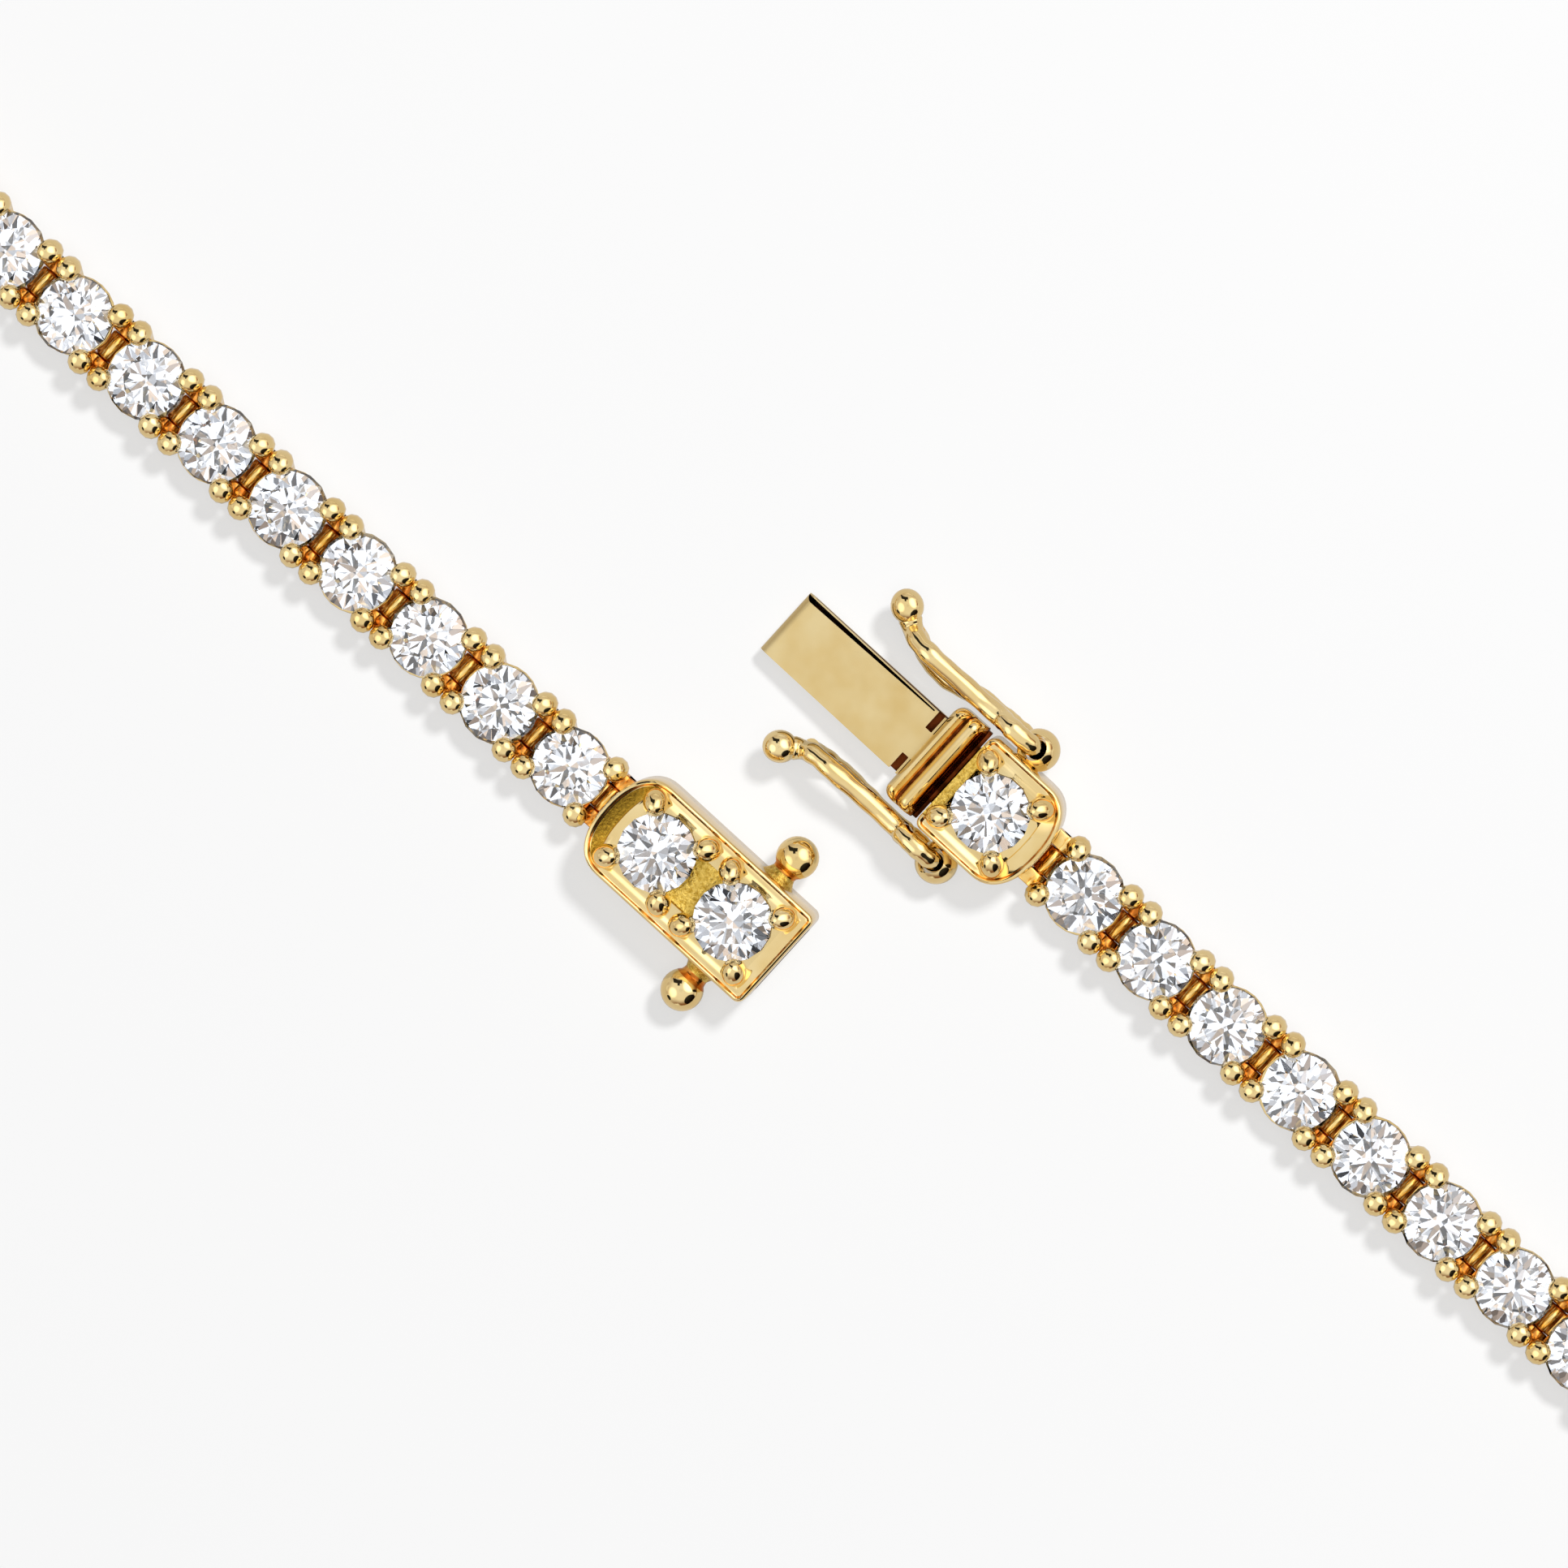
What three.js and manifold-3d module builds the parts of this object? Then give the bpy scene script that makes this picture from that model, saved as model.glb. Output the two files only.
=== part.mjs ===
// A four-prong tennis necklace, lying open at its box clasp.
// Millimetres, +Z up. The necklace lies on z = 0 as one long oval loop.
// It is laid out in the clasp's own frame: X runs along the clasp from the box to the head,
// Y runs across it, and the finished group is then moved so that the loop is centred.
import * as THREE from 'three';
import { mergeVertices } from 'three/addons/utils/BufferGeometryUtils.js';
import Module from 'manifold-3d';

const wasm = await Module();
wasm.setup();

// ---- Driving dimensions ----

// Chain of square prong settings, all alike
const LINK_PITCH = 3.57;
const LINKS_PER_STRAND = 55;
const SEAT_HALF = 1.45; // half the width of a setting at the girdle
const PRONG_CORNER = 1.0; // where a prong's outer corner is cut off
const LINK_FOOT = 0.62; // width at the floor as a share of the width at the girdle
const LINK_GIRDLE_Z = 1.65;
const LINK_TABLE_Z = 2.1;
const LINK_PRONG_Z = 2.3;
const LINK_TABLE = 0.6; // width of a stone's table as a share of its girdle

// Hinges between links, box and head
const HINGE_Z = 0.8;
const HINGE_BLOCK = { length: 1.9, width: 1.3, low: 0.45, high: 1.05 };
const PIN_RADIUS = 0.17;
const EYE = { hole: 0.27, outer: 0.42, halfWidth: 0.48, tabLow: 0.5, tabHigh: 1.1 };
const EAR = { near: 0.58, far: 1.13, reach: 0.39, low: 0.42, high: 1.18 };
const TAB_LENGTH = LINK_PITCH / 2 - 1; // from the hinge line well into the setting

// Both halves of the clasp
const RIM_Z = 2.9;
const RIM_WIDTH = 0.46;
const RIM_BEVEL = 0.12;
const PAN_Z = 2.3;
const END_ROUNDING = 1.5; // depth of the half ellipse that closes the hinge end
const END_SIDES = 8;
const UNDERCUT_Z = 1.35;
const UNDERCUT_HALF = 1.25;

const BOX = { back: -4.4, mouth: 4.25, y: -4.85, halfWidth: 2.15, hinge: -4.56, undercut: -3.95 };
const BOX_STONES = { back: -1.78, front: 2.0 };
const SLOT = { end: -2.75, lip: 3.85, halfWidth: 1.5, low: 0.4, high: 1.75, mouthHigh: 1.35 };
const PEG = { x: 2.27, stem: 0.55, ball: 0.81, out: 3.3, z: 1.45 };

const HEAD = { front: 4.48, back: 8.8, y: 4.57, halfWidth: 2.2, hinge: 9.145, undercut: 8.45 };
const HEAD_STONE_X = 6.34;
const HEAD_FRONT_CUT = { depth: RIM_WIDTH, halfWidth: 1.7, z: 2.6 };
const LEAF_SOCKET = { end: 5.5, halfWidth: 1.45, low: 0.38, high: 0.8 };

// Clasp stones and their ball-tipped prongs
const GEM = { radius: 1.55, table: 0.88, pavilion: 1.3, girdle: 0.06, crown: 0.44, z: 2.9 };
const GEM_SIDES = 12;
const GEM_CLEARANCE = 0.07;
const PRONG = { out: 1.87, post: 0.36, ball: 0.5, tip: 3.5 };

// Folded spring tongue with its press bar
const LEAF = { tip: -4.12, shoulder: 2.25, root: 5.4, halfWidth: 1.38, thick: 0.28, low: 0.45, high: 1.6 };
const FOLD_RADIUS = 0.375;
const FOLD_SEGMENTS = 6;
const NOTCH = { end: 2.7, halfNeck: 0.33 };
const PRESS_BAR = { x0: 2.8, x1: 3.94, halfWidth: 2.2, low: 1.05, high: 2.45, corner: 0.45 };
const BAR_GROOVE = { x0: 3.3, x1: 3.44, low: 2.27 };
const BAR_FOOT = { x1: 4.41, halfWidth: 2.12, low: 1.05, high: 1.5 }; // floor of the groove before the head

// Figure-eight safety catches, each threaded through a pierced ball lug on the head
const LUG = { x: 6.07, out: 2.82, z: 1.45, ball: 0.81, hole: 0.5 };
const CATCH = { wire: 0.38, sides: 5, ring: 1.0, ringHalfAngle: 145, tailBall: 0.62 };
const RING_STEP = 29;
const BORE = { halfAngle: 66, step: 22, sides: 8, steps: 5 };
// Course of each wire ahead of the lug, its height over it, and how far it strays outwards:
// the upper one from the tail ball to the ring, the lower one from the ring back to the tail
const UPPER_WIRE = [
  { ahead: 7.16, above: 0.42, out: 0.69 },
  { ahead: 6.5, above: 0.3, out: 0.24 },
  { ahead: 6.0, above: 0.72, out: 0.03 },
  { ahead: 5.25, above: 0.98, out: -0.02 },
  { ahead: 4.3, above: 0.85, out: -0.03 },
  { ahead: 3.0, above: 0.5, out: -0.04 },
];
const LOWER_WIRE = [
  { ahead: 3.0, above: -0.5, out: -0.06 },
  { ahead: 3.8, above: -0.78, out: -0.26 },
  { ahead: 4.6, above: -0.98, out: -0.36 },
  { ahead: 5.3, above: -0.86, out: -0.26 },
  { ahead: 5.9, above: -0.35, out: -0.02 },
  { ahead: 6.3, above: 0.25, out: 0.14 },
];
const WIRE_STEPS = 13; // sections along each of the two wires

// The loop: where its round ends start, measured from the clasp's middle
const ROUND_END_X = 38;

// ---- Materials ----

const gold = (roughness) => new THREE.MeshStandardMaterial({ color: 0xe2be78, roughness, metalness: 1 });
const stone = () => new THREE.MeshStandardMaterial({ color: 0xeef1f6, roughness: 0.05, metalness: 0 });

// ---- Shapes and joining ----

// Closed three.js geometry -> solid: welds the seams and drops the empty triangles at poles
function solid(geometry) {
  const bare = new THREE.BufferGeometry();
  bare.setAttribute('position', geometry.getAttribute('position'));
  bare.setIndex(geometry.index);
  const welded = mergeVertices(bare, 1e-5);
  const corners = welded.index.array;
  const triangles = [];
  for (let i = 0; i < corners.length; i += 3) {
    const [a, b, c] = corners.subarray(i, i + 3);
    if (a !== b && b !== c && c !== a) triangles.push(a, b, c);
  }
  const vertProperties = new Float32Array(welded.getAttribute('position').array);
  const triVerts = new Uint32Array(triangles);
  return new wasm.Manifold(new wasm.Mesh({ numProp: 3, vertProperties, triVerts }));
}

function joined(geometries) {
  return geometries.map(solid).reduce((whole, piece) => whole.add(piece));
}

function cutBy(body, geometries) {
  return geometries.map(solid).reduce((rest, piece) => rest.subtract(piece), body);
}

function mesh(name, body, material) {
  const { vertProperties, triVerts } = body.getMesh();
  const geometry = new THREE.BufferGeometry();
  geometry.setAttribute('position', new THREE.BufferAttribute(vertProperties, 3));
  geometry.setIndex(new THREE.BufferAttribute(triVerts, 1));
  geometry.computeVertexNormals();
  const piece = new THREE.Mesh(geometry, material);
  piece.name = name;
  return piece;
}

function block(x0, x1, y0, y1, z0, z1) {
  const geometry = new THREE.BoxGeometry(x1 - x0, y1 - y0, z1 - z0);
  return geometry.translate((x0 + x1) / 2, (y0 + y1) / 2, (z0 + z1) / 2);
}

// Outline in X and Y, raised from z0 to z1; the foot or the top may be drawn in
function raised(shape, z0, z1, { foot = 1, top = 1 } = {}) {
  const geometry = new THREE.ExtrudeGeometry(shape, { depth: z1 - z0, bevelEnabled: false });
  const position = geometry.getAttribute('position');
  for (let i = 0; i < position.count; i += 1) {
    const scale = position.getZ(i) < (z1 - z0) / 2 ? foot : top;
    position.setX(i, position.getX(i) * scale);
    position.setY(i, position.getY(i) * scale);
  }
  return geometry.translate(0, 0, z0);
}

// Profile of [radius, height] pairs turned about +Z
function turned(profile, sides, start = 0) {
  const points = profile.map(([radius, height]) => new THREE.Vector2(radius, height));
  const geometry = new THREE.LatheGeometry(points, sides, start, 2 * Math.PI);
  return geometry.rotateX(Math.PI / 2);
}

function crossPin(radius, halfWidth, sides) {
  return new THREE.CylinderGeometry(radius, radius, 2 * halfWidth, sides);
}

function polygon(points) {
  return new THREE.Shape(points.map(([x, y]) => new THREE.Vector2(x, y)));
}

function wire(curve, radius, sides, steps) {
  const section = new THREE.Shape();
  for (let i = 0; i < sides; i += 1) {
    const turn = (2 * Math.PI * i) / sides;
    const point = [radius * Math.cos(turn), radius * Math.sin(turn)];
    if (i === 0) section.moveTo(...point);
    else section.lineTo(...point);
  }
  return new THREE.ExtrudeGeometry(section, { steps, bevelEnabled: false, extrudePath: curve });
}

// ---- The loop's route ----

// Straight, wide round end, straight, narrower round end, straight: from the box's hinge
// the way round to the head's hinge. Each leg gives a point for a distance along it.
function loopLegs() {
  const boxRun = ROUND_END_X + BOX.hinge;
  const headRun = ROUND_END_X - HEAD.hinge;
  const farRun = 2 * ROUND_END_X;
  const offset = HEAD.y - BOX.y;
  const around = 2 * LINKS_PER_STRAND * LINK_PITCH - boxRun - headRun - farRun;
  const headRadius = (around - (Math.PI * offset) / 2) / (2 * Math.PI);
  const boxRadius = headRadius + offset / 2;
  const farY = HEAD.y + 2 * headRadius;
  const arc = (x, radius, firstTurn) => (s) => {
    const turn = firstTurn - s / radius;
    return [x + radius * Math.cos(turn), farY - radius + radius * Math.sin(turn)];
  };
  return [
    { length: boxRun, at: (s) => [BOX.hinge - s, BOX.y] },
    { length: Math.PI * boxRadius, at: arc(-ROUND_END_X, boxRadius, -Math.PI / 2) },
    { length: farRun, at: (s) => [s - ROUND_END_X, farY] },
    { length: Math.PI * headRadius, at: arc(ROUND_END_X, headRadius, Math.PI / 2) },
    { length: headRun, at: (s) => [ROUND_END_X - s, HEAD.y] },
  ];
}

function pointOnLoop(legs, distance) {
  let left = distance;
  let leg = 0;
  while (leg < legs.length - 1 && left > legs[leg].length) {
    left -= legs[leg].length;
    leg += 1;
  }
  return legs[leg].at(left);
}

// ---- Chain ----

// One setting about its own centre: square basket, stone, four prongs
function setting() {
  const a = SEAT_HALF;
  const c = PRONG_CORNER;
  const flat = a * Math.tan(Math.PI / 8);
  const basket = polygon([[a, -c], [a, c], [c, a], [-c, a], [-a, c], [-a, -c], [-c, -a], [c, -a]]);
  const octagon = polygon([
    [a, -flat], [a, flat], [flat, a], [-flat, a],
    [-a, flat], [-a, -flat], [-flat, -a], [flat, -a],
  ]);
  const prongs = [0, 1, 2, 3].map((quarter) => {
    const post = raised(polygon([[a, flat], [a, c], [c, a], [flat, a]]), LINK_GIRDLE_Z, LINK_PRONG_Z);
    return post.rotateZ((quarter * Math.PI) / 2);
  });
  const body = raised(basket, 0, LINK_GIRDLE_Z, { foot: LINK_FOOT });
  const crown = raised(octagon, LINK_GIRDLE_Z, LINK_TABLE_Z, { top: LINK_TABLE });
  return joined([body, crown, ...prongs]);
}

// The knuckles between two links: one link's tab between the next one's ears, on their pin
function hingeBlock() {
  const { length, width, low, high } = HINGE_BLOCK;
  return block(-length / 2, length / 2, -width / 2, width / 2, low, high);
}

// An eye round somebody else's pin, its tab leading away towards +X
function hingeEye() {
  const ring = crossPin(EYE.outer, EYE.halfWidth, 10).translate(0, 0, HINGE_Z);
  const tab = block(0, TAB_LENGTH, -EYE.halfWidth, EYE.halfWidth, EYE.tabLow, EYE.tabHigh);
  const hole = crossPin(EYE.hole, 1, 10).translate(0, 0, HINGE_Z);
  return cutBy(joined([ring, tab]), [hole]);
}

// Two ears and their pin about the hinge line, reaching back towards +X
function hingeFork(back) {
  const ears = [-1, 1].map((side) => {
    const [y0, y1] = [side * EAR.near, side * EAR.far].sort((p, q) => p - q);
    return block(-EAR.reach, back, y0, y1, EAR.low, EAR.high);
  });
  const pin = crossPin(PIN_RADIUS, (EAR.near + EAR.far) / 2, 6).translate(0, 0, HINGE_Z);
  return joined([...ears, pin]);
}

function strand(firstLink, startPart, endPart) {
  const legs = loopLegs();
  const hinges = [];
  for (let i = 0; i <= LINKS_PER_STRAND; i += 1) {
    hinges.push(pointOnLoop(legs, (firstLink + i) * LINK_PITCH));
  }
  const link = setting();
  const knuckle = solid(hingeBlock());
  let whole;
  for (let i = 0; i < LINKS_PER_STRAND; i += 1) {
    const [x0, y0] = hinges[i];
    const [x1, y1] = hinges[i + 1];
    const heading = (Math.atan2(y1 - y0, x1 - x0) * 180) / Math.PI;
    const placed = link.rotate([0, 0, heading]).translate([(x0 + x1) / 2, (y0 + y1) / 2, 0]);
    whole = whole ? whole.add(placed) : placed;
    if (i === 0) whole = whole.add(startPart.rotate([0, 0, heading]).translate([x0, y0, 0]));
    const follower = i < LINKS_PER_STRAND - 1 ? knuckle : endPart.rotate([0, 0, 180]);
    whole = whole.add(follower.rotate([0, 0, heading]).translate([x1, y1, 0]));
  }
  return whole;
}

// ---- Clasp ----

// Outline of a clasp half about its own axis: square at `flat`, round at `apex`,
// drawn in by `inset` all round
function claspOutline(flat, apex, halfWidth, inset = 0) {
  const towards = Math.sign(apex - flat);
  const half = halfWidth - inset;
  const depth = END_ROUNDING - inset;
  const roundX = apex - towards * END_ROUNDING;
  const points = [[flat + towards * inset, -half], [roundX, -half]];
  for (let i = 1; i < END_SIDES; i += 1) {
    const turn = -Math.PI / 2 + (Math.PI * i) / END_SIDES;
    points.push([roundX + towards * depth * Math.cos(turn), half * Math.sin(turn)]);
  }
  points.push([roundX, half], [flat + towards * inset, half]);
  return polygon(points);
}

function gem(x) {
  const { radius, table, pavilion, girdle, crown, z } = GEM;
  const profile = [[0, z - pavilion], [radius, z], [radius, z + girdle]];
  profile.push([table, z + girdle + crown], [0, z + girdle + crown]);
  return turned(profile, GEM_SIDES).translate(x, 0, 0);
}

// What the stone needs clear of metal
function gemSeat(x) {
  const { radius, table, pavilion, girdle, crown, z } = GEM;
  const gap = GEM_CLEARANCE;
  const profile = [[0, z - pavilion - gap], [radius + gap, z - gap], [radius + gap, z + girdle + gap / 2]];
  profile.push([table + gap, z + girdle + crown + gap], [0, z + girdle + crown + gap]);
  return turned(profile, GEM_SIDES).translate(x, 0, 0);
}

function ballProngs(x) {
  const { out, post, ball, tip } = PRONG;
  const profile = [[0, PAN_Z - 0.2], [post, PAN_Z - 0.2], [ball, tip - 0.9 * ball]];
  profile.push([0.65 * ball, tip - 0.15 * ball], [0, tip]);
  return [1, 3, 5, 7].map((eighth) => {
    const turn = (eighth * Math.PI) / 4;
    return turned(profile, 6).translate(x + out * Math.cos(turn), out * Math.sin(turn), 0);
  });
}

// Body of a clasp half with its rim, pan, stone seats and prongs
function claspHalf({ flat, apex, halfWidth, stones }) {
  const outer = claspOutline(flat, apex, halfWidth);
  const rimBand = claspOutline(flat, apex, halfWidth, RIM_BEVEL);
  const body = joined([raised(outer, 0, RIM_Z - RIM_BEVEL), raised(rimBand, RIM_Z / 2, RIM_Z)]);
  const pan = raised(claspOutline(flat, apex, halfWidth, RIM_WIDTH), PAN_Z, RIM_Z + 1);
  const prongs = joined(stones.flatMap(ballProngs));
  return cutBy(cutBy(body, [pan]).add(prongs), stones.map(gemSeat));
}

function undercut(from, to) {
  return block(Math.min(from, to), Math.max(from, to), -UNDERCUT_HALF, UNDERCUT_HALF, -1, UNDERCUT_Z);
}

// Waisted side peg with a ball end, on the side given by +1 or -1
function sidePeg(side) {
  const { x, stem, ball, out, z } = PEG;
  const root = BOX.halfWidth - 0.3;
  const profile = [[0, root], [stem + 0.12, root], [stem, out - 0.85 * ball], [ball, out - 0.1 * ball]];
  profile.push([0.9 * ball, out + 0.45 * ball], [0.5 * ball, out + 0.85 * ball], [0, out + ball]);
  const peg = turned(profile, 8).rotateX(-Math.PI / 2);
  if (side < 0) peg.rotateZ(Math.PI);
  return peg.translate(x, 0, z);
}

function boxShell() {
  const stones = [BOX_STONES.back, BOX_STONES.front];
  const half = claspHalf({ flat: BOX.mouth, apex: BOX.back, halfWidth: BOX.halfWidth, stones });
  const { end, lip, halfWidth, low, high, mouthHigh } = SLOT;
  const hollow = [
    block(end, lip, -halfWidth, halfWidth, low, high),
    block(lip - 0.1, BOX.mouth + 1, -halfWidth, halfWidth, low, mouthHigh),
    undercut(BOX.undercut, BOX.back - 1),
  ];
  const fork = hingeFork(BOX.undercut - BOX.hinge + 0.1).translate([BOX.hinge, 0, 0]);
  return cutBy(half, hollow).add(fork).add(joined([sidePeg(1), sidePeg(-1)])).translate([0, BOX.y, 0]);
}

// Circle that the safety catch's ring follows through its lug, between two turns in degrees
function ringPoints(fromTurn, toTurn, step) {
  const points = [];
  const count = Math.round(Math.abs(toTurn - fromTurn) / step);
  for (let i = 0; i <= count; i += 1) {
    const turn = THREE.MathUtils.degToRad(fromTurn + ((toTurn - fromTurn) * i) / count);
    points.push({ ahead: CATCH.ring * (1 - Math.cos(turn)), above: CATCH.ring * Math.sin(turn), out: 0 });
  }
  return points;
}

function catchCurve(course, side) {
  const points = course.map(({ ahead, above, out }) => {
    return new THREE.Vector3(LUG.x - ahead, side * (LUG.out + out), LUG.z + above);
  });
  return new THREE.CatmullRomCurve3(points);
}

function piercedLug(side) {
  const ball = new THREE.SphereGeometry(LUG.ball, 10, 6).translate(LUG.x, side * LUG.out, LUG.z);
  const turn = BORE.halfAngle;
  const bore = wire(catchCurve(ringPoints(-turn, turn, BORE.step), side), LUG.hole, BORE.sides, BORE.steps);
  return { ball, bore };
}

function claspHead() {
  const lugs = [piercedLug(1), piercedLug(-1)];
  const { front, back, halfWidth, hinge, undercut: undercutX } = HEAD;
  const half = claspHalf({ flat: front, apex: back, halfWidth, stones: [HEAD_STONE_X] });
  const leafHalf = LEAF_SOCKET.halfWidth;
  const socket = block(front - 1, LEAF_SOCKET.end, -leafHalf, leafHalf, LEAF_SOCKET.low, LEAF_SOCKET.high);
  const { depth, halfWidth: cutHalf, z } = HEAD_FRONT_CUT;
  const frontCut = block(front - 1, front + depth, -cutHalf, cutHalf, z, z + 1);
  const body = cutBy(half, [socket, frontCut, undercut(undercutX, back + 1)]);
  const fork = hingeFork(hinge - undercutX + 0.1).rotate([0, 0, 180]).translate([hinge, 0, 0]);
  const whole = body.add(fork).add(joined(lugs.map(({ ball }) => ball)));
  return cutBy(whole, lugs.map(({ bore }) => bore)).translate([0, HEAD.y, 0]);
}

// Side view of the folded leaf, drawn in X and Z
function leafProfile() {
  const { tip, root, thick, low, high } = LEAF;
  const foldX = tip + FOLD_RADIUS;
  const foldZ = low + FOLD_RADIUS;
  const inner = FOLD_RADIUS - thick;
  const barX = (PRESS_BAR.x0 + PRESS_BAR.x1) / 2;
  const shape = new THREE.Shape();
  shape.moveTo(root, low);
  shape.lineTo(foldX, low);
  shape.absarc(foldX, foldZ, FOLD_RADIUS, -Math.PI / 2, Math.PI / 2, true);
  shape.lineTo(barX, high);
  shape.lineTo(barX, high - thick);
  shape.lineTo(foldX, foldZ + inner);
  shape.absarc(foldX, foldZ, inner, Math.PI / 2, -Math.PI / 2, false);
  shape.lineTo(root, low + thick);
  return shape;
}

function springTongue() {
  const { shoulder, halfWidth, high, thick } = LEAF;
  const leaf = new THREE.ExtrudeGeometry(leafProfile(), {
    depth: 2 * halfWidth,
    bevelEnabled: false,
    curveSegments: FOLD_SEGMENTS,
  });
  leaf.rotateX(Math.PI / 2).translate(0, halfWidth, 0);
  const notches = [-1, 1].map((side) => {
    const [y0, y1] = [side * NOTCH.halfNeck, side * (halfWidth + 1)].sort((p, q) => p - q);
    return block(shoulder, NOTCH.end, y0, y1, high - thick - 0.3, high + 1);
  });
  const { x0, x1, halfWidth: barHalf, low, high: barHigh, corner } = PRESS_BAR;
  const outline = polygon([
    [x1, -barHalf], [x1, barHalf], [x0 + corner, barHalf], [x0 + 0.3 * corner, barHalf - 0.3 * corner],
    [x0, barHalf - corner], [x0, corner - barHalf], [x0 + 0.3 * corner, 0.3 * corner - barHalf],
    [x0 + corner, -barHalf],
  ]);
  const grooveHalf = barHalf + 1;
  const groove = block(BAR_GROOVE.x0, BAR_GROOVE.x1, -grooveHalf, grooveHalf, BAR_GROOVE.low, barHigh + 1);
  const footHalf = BAR_FOOT.halfWidth;
  const foot = block((x0 + x1) / 2, BAR_FOOT.x1, -footHalf, footHalf, BAR_FOOT.low, BAR_FOOT.high);
  const bar = cutBy(joined([raised(outline, low, barHigh), foot]), [groove]);
  return cutBy(solid(leaf), notches).add(bar).translate([0, HEAD.y, 0]);
}

// Ring through the lug and a long loop ahead of it, closed under the bend that carries the tail ball
function safetyCatch(side) {
  const { ringHalfAngle, wire: radius, sides, tailBall } = CATCH;
  const ring = ringPoints(ringHalfAngle, -ringHalfAngle, RING_STEP);
  const middle = Math.floor(ring.length / 2);
  const upper = catchCurve([...UPPER_WIRE, ...ring.slice(0, middle + 1)], side);
  const lower = catchCurve([...ring.slice(middle - 1), ...LOWER_WIRE], side);
  const tail = upper.getPoint(0);
  const ball = new THREE.SphereGeometry(tailBall, 7, 5).translate(tail.x, tail.y, tail.z);
  const wires = [upper, lower].map((curve) => wire(curve, radius, sides, WIRE_STEPS));
  return joined([...wires, ball]).translate([0, HEAD.y, 0]);
}

// ---- Assembly ----

const necklace = new THREE.Group();
const eye = hingeEye();
const fork = hingeFork(TAB_LENGTH);
necklace.add(
  mesh('box_shell', boxShell(), gold(0.12)),
  mesh('box_stone_back', solid(gem(BOX_STONES.back)).translate([0, BOX.y, 0]), stone()),
  mesh('box_stone_front', solid(gem(BOX_STONES.front)).translate([0, BOX.y, 0]), stone()),
  mesh('spring_tongue', springTongue(), gold(0.2)),
  mesh('clasp_head', claspHead(), gold(0.12)),
  mesh('head_stone', solid(gem(HEAD_STONE_X)).translate([0, HEAD.y, 0]), stone()),
  mesh('safety_catch_left', safetyCatch(1), gold(0.1)),
  mesh('safety_catch_right', safetyCatch(-1), gold(0.1)),
  mesh('strand_left', strand(0, eye, eye), gold(0.12)),
  mesh('strand_right', strand(LINKS_PER_STRAND, fork, eye), gold(0.12)),
);

const extent = new THREE.Box3().setFromObject(necklace, true);
const centre = extent.getCenter(new THREE.Vector3());
necklace.position.set(-centre.x, -centre.y, -extent.min.z);
necklace.updateMatrixWorld(true);

export default necklace;
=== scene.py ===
import math

import bmesh
import bpy
from mathutils import Matrix, Vector


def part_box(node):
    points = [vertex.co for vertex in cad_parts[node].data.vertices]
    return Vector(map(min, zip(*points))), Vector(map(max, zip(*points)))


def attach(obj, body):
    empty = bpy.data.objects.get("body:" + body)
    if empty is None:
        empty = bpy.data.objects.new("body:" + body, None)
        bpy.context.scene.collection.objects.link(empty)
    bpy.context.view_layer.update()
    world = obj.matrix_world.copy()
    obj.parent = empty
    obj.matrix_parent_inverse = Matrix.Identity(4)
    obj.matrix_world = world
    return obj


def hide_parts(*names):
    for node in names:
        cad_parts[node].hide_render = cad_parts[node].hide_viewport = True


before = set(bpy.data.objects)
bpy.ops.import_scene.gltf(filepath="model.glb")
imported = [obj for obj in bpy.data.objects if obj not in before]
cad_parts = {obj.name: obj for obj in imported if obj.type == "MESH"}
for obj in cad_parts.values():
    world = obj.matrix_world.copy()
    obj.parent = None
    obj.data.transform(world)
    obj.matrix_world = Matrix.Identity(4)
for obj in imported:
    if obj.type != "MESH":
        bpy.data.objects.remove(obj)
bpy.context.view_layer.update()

bl_info = {
    "name": "Tennis necklace",
    "version": (1, 0, 0),
    "blender": (4, 5, 0),
    "location": "3D View > Sidebar > Necklace",
    "description": "Four-prong chain, box clasp, tongue and safety catches of a tennis necklace",
    "category": "Add Mesh",
}

# ---- Shared sizes, in millimetres about the clasp's middle ----

MM = 0.001
LINK_PITCH = 3.57
LINKS_PER_STRAND = 55
ROUND_END_X = 38.0
LINK_GIRDLE_Z = 1.65

# Hinges between links: the pin, the two ears that carry it and the eye that turns on it
HINGE_Z = 0.8
PIN_RADIUS, PIN_HALF = 0.17, 0.9
EAR_RADIUS, EAR_NEAR, EAR_FAR = 0.4, 0.57, 1.2
EYE_RADIUS, EYE_HALF = 0.42, 0.53

# Clasp: places along X of each half's ends, stones and hinge, and the line along Y that it lies on
BOX_STONES = (-1.78, 2.0)
BOX_AXIS_Y = -4.85
BOX_BACK, BOX_MOUTH, BOX_HALF_WIDTH, BOX_HINGE = -4.4, 4.25, 2.15, -4.56
HEAD_STONE_X = 6.34
HEAD_AXIS_Y = 4.57
HEAD_FRONT, HEAD_BACK, HEAD_HALF_WIDTH, HEAD_HINGE = 4.48, 8.8, 2.2, 9.145
RIM_Z = 2.9

# Lugs of the safety catches, the wire's ring through each, and the lug's bore round the same ring
LUG_X, LUG_OUT, LUG_Z, LUG_BALL = 6.07, 2.82, 1.45, 0.81
RING_RADIUS, RING_ENDS, RING_STEP = 1.0, 145, 29
BORE_RADIUS, BORE_ENDS, BORE_STEP = 0.5, 66, 22


def clasp_origin():
    """Where the clasp's middle lies in the part's frame, in metres"""
    low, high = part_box("box_stone_back")
    back = (low + high) / 2
    return Vector((back.x - BOX_STONES[0] * MM, back.y - BOX_AXIS_Y * MM, 0.0))


ORIGIN = clasp_origin()


# ---- Mesh building ----


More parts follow.
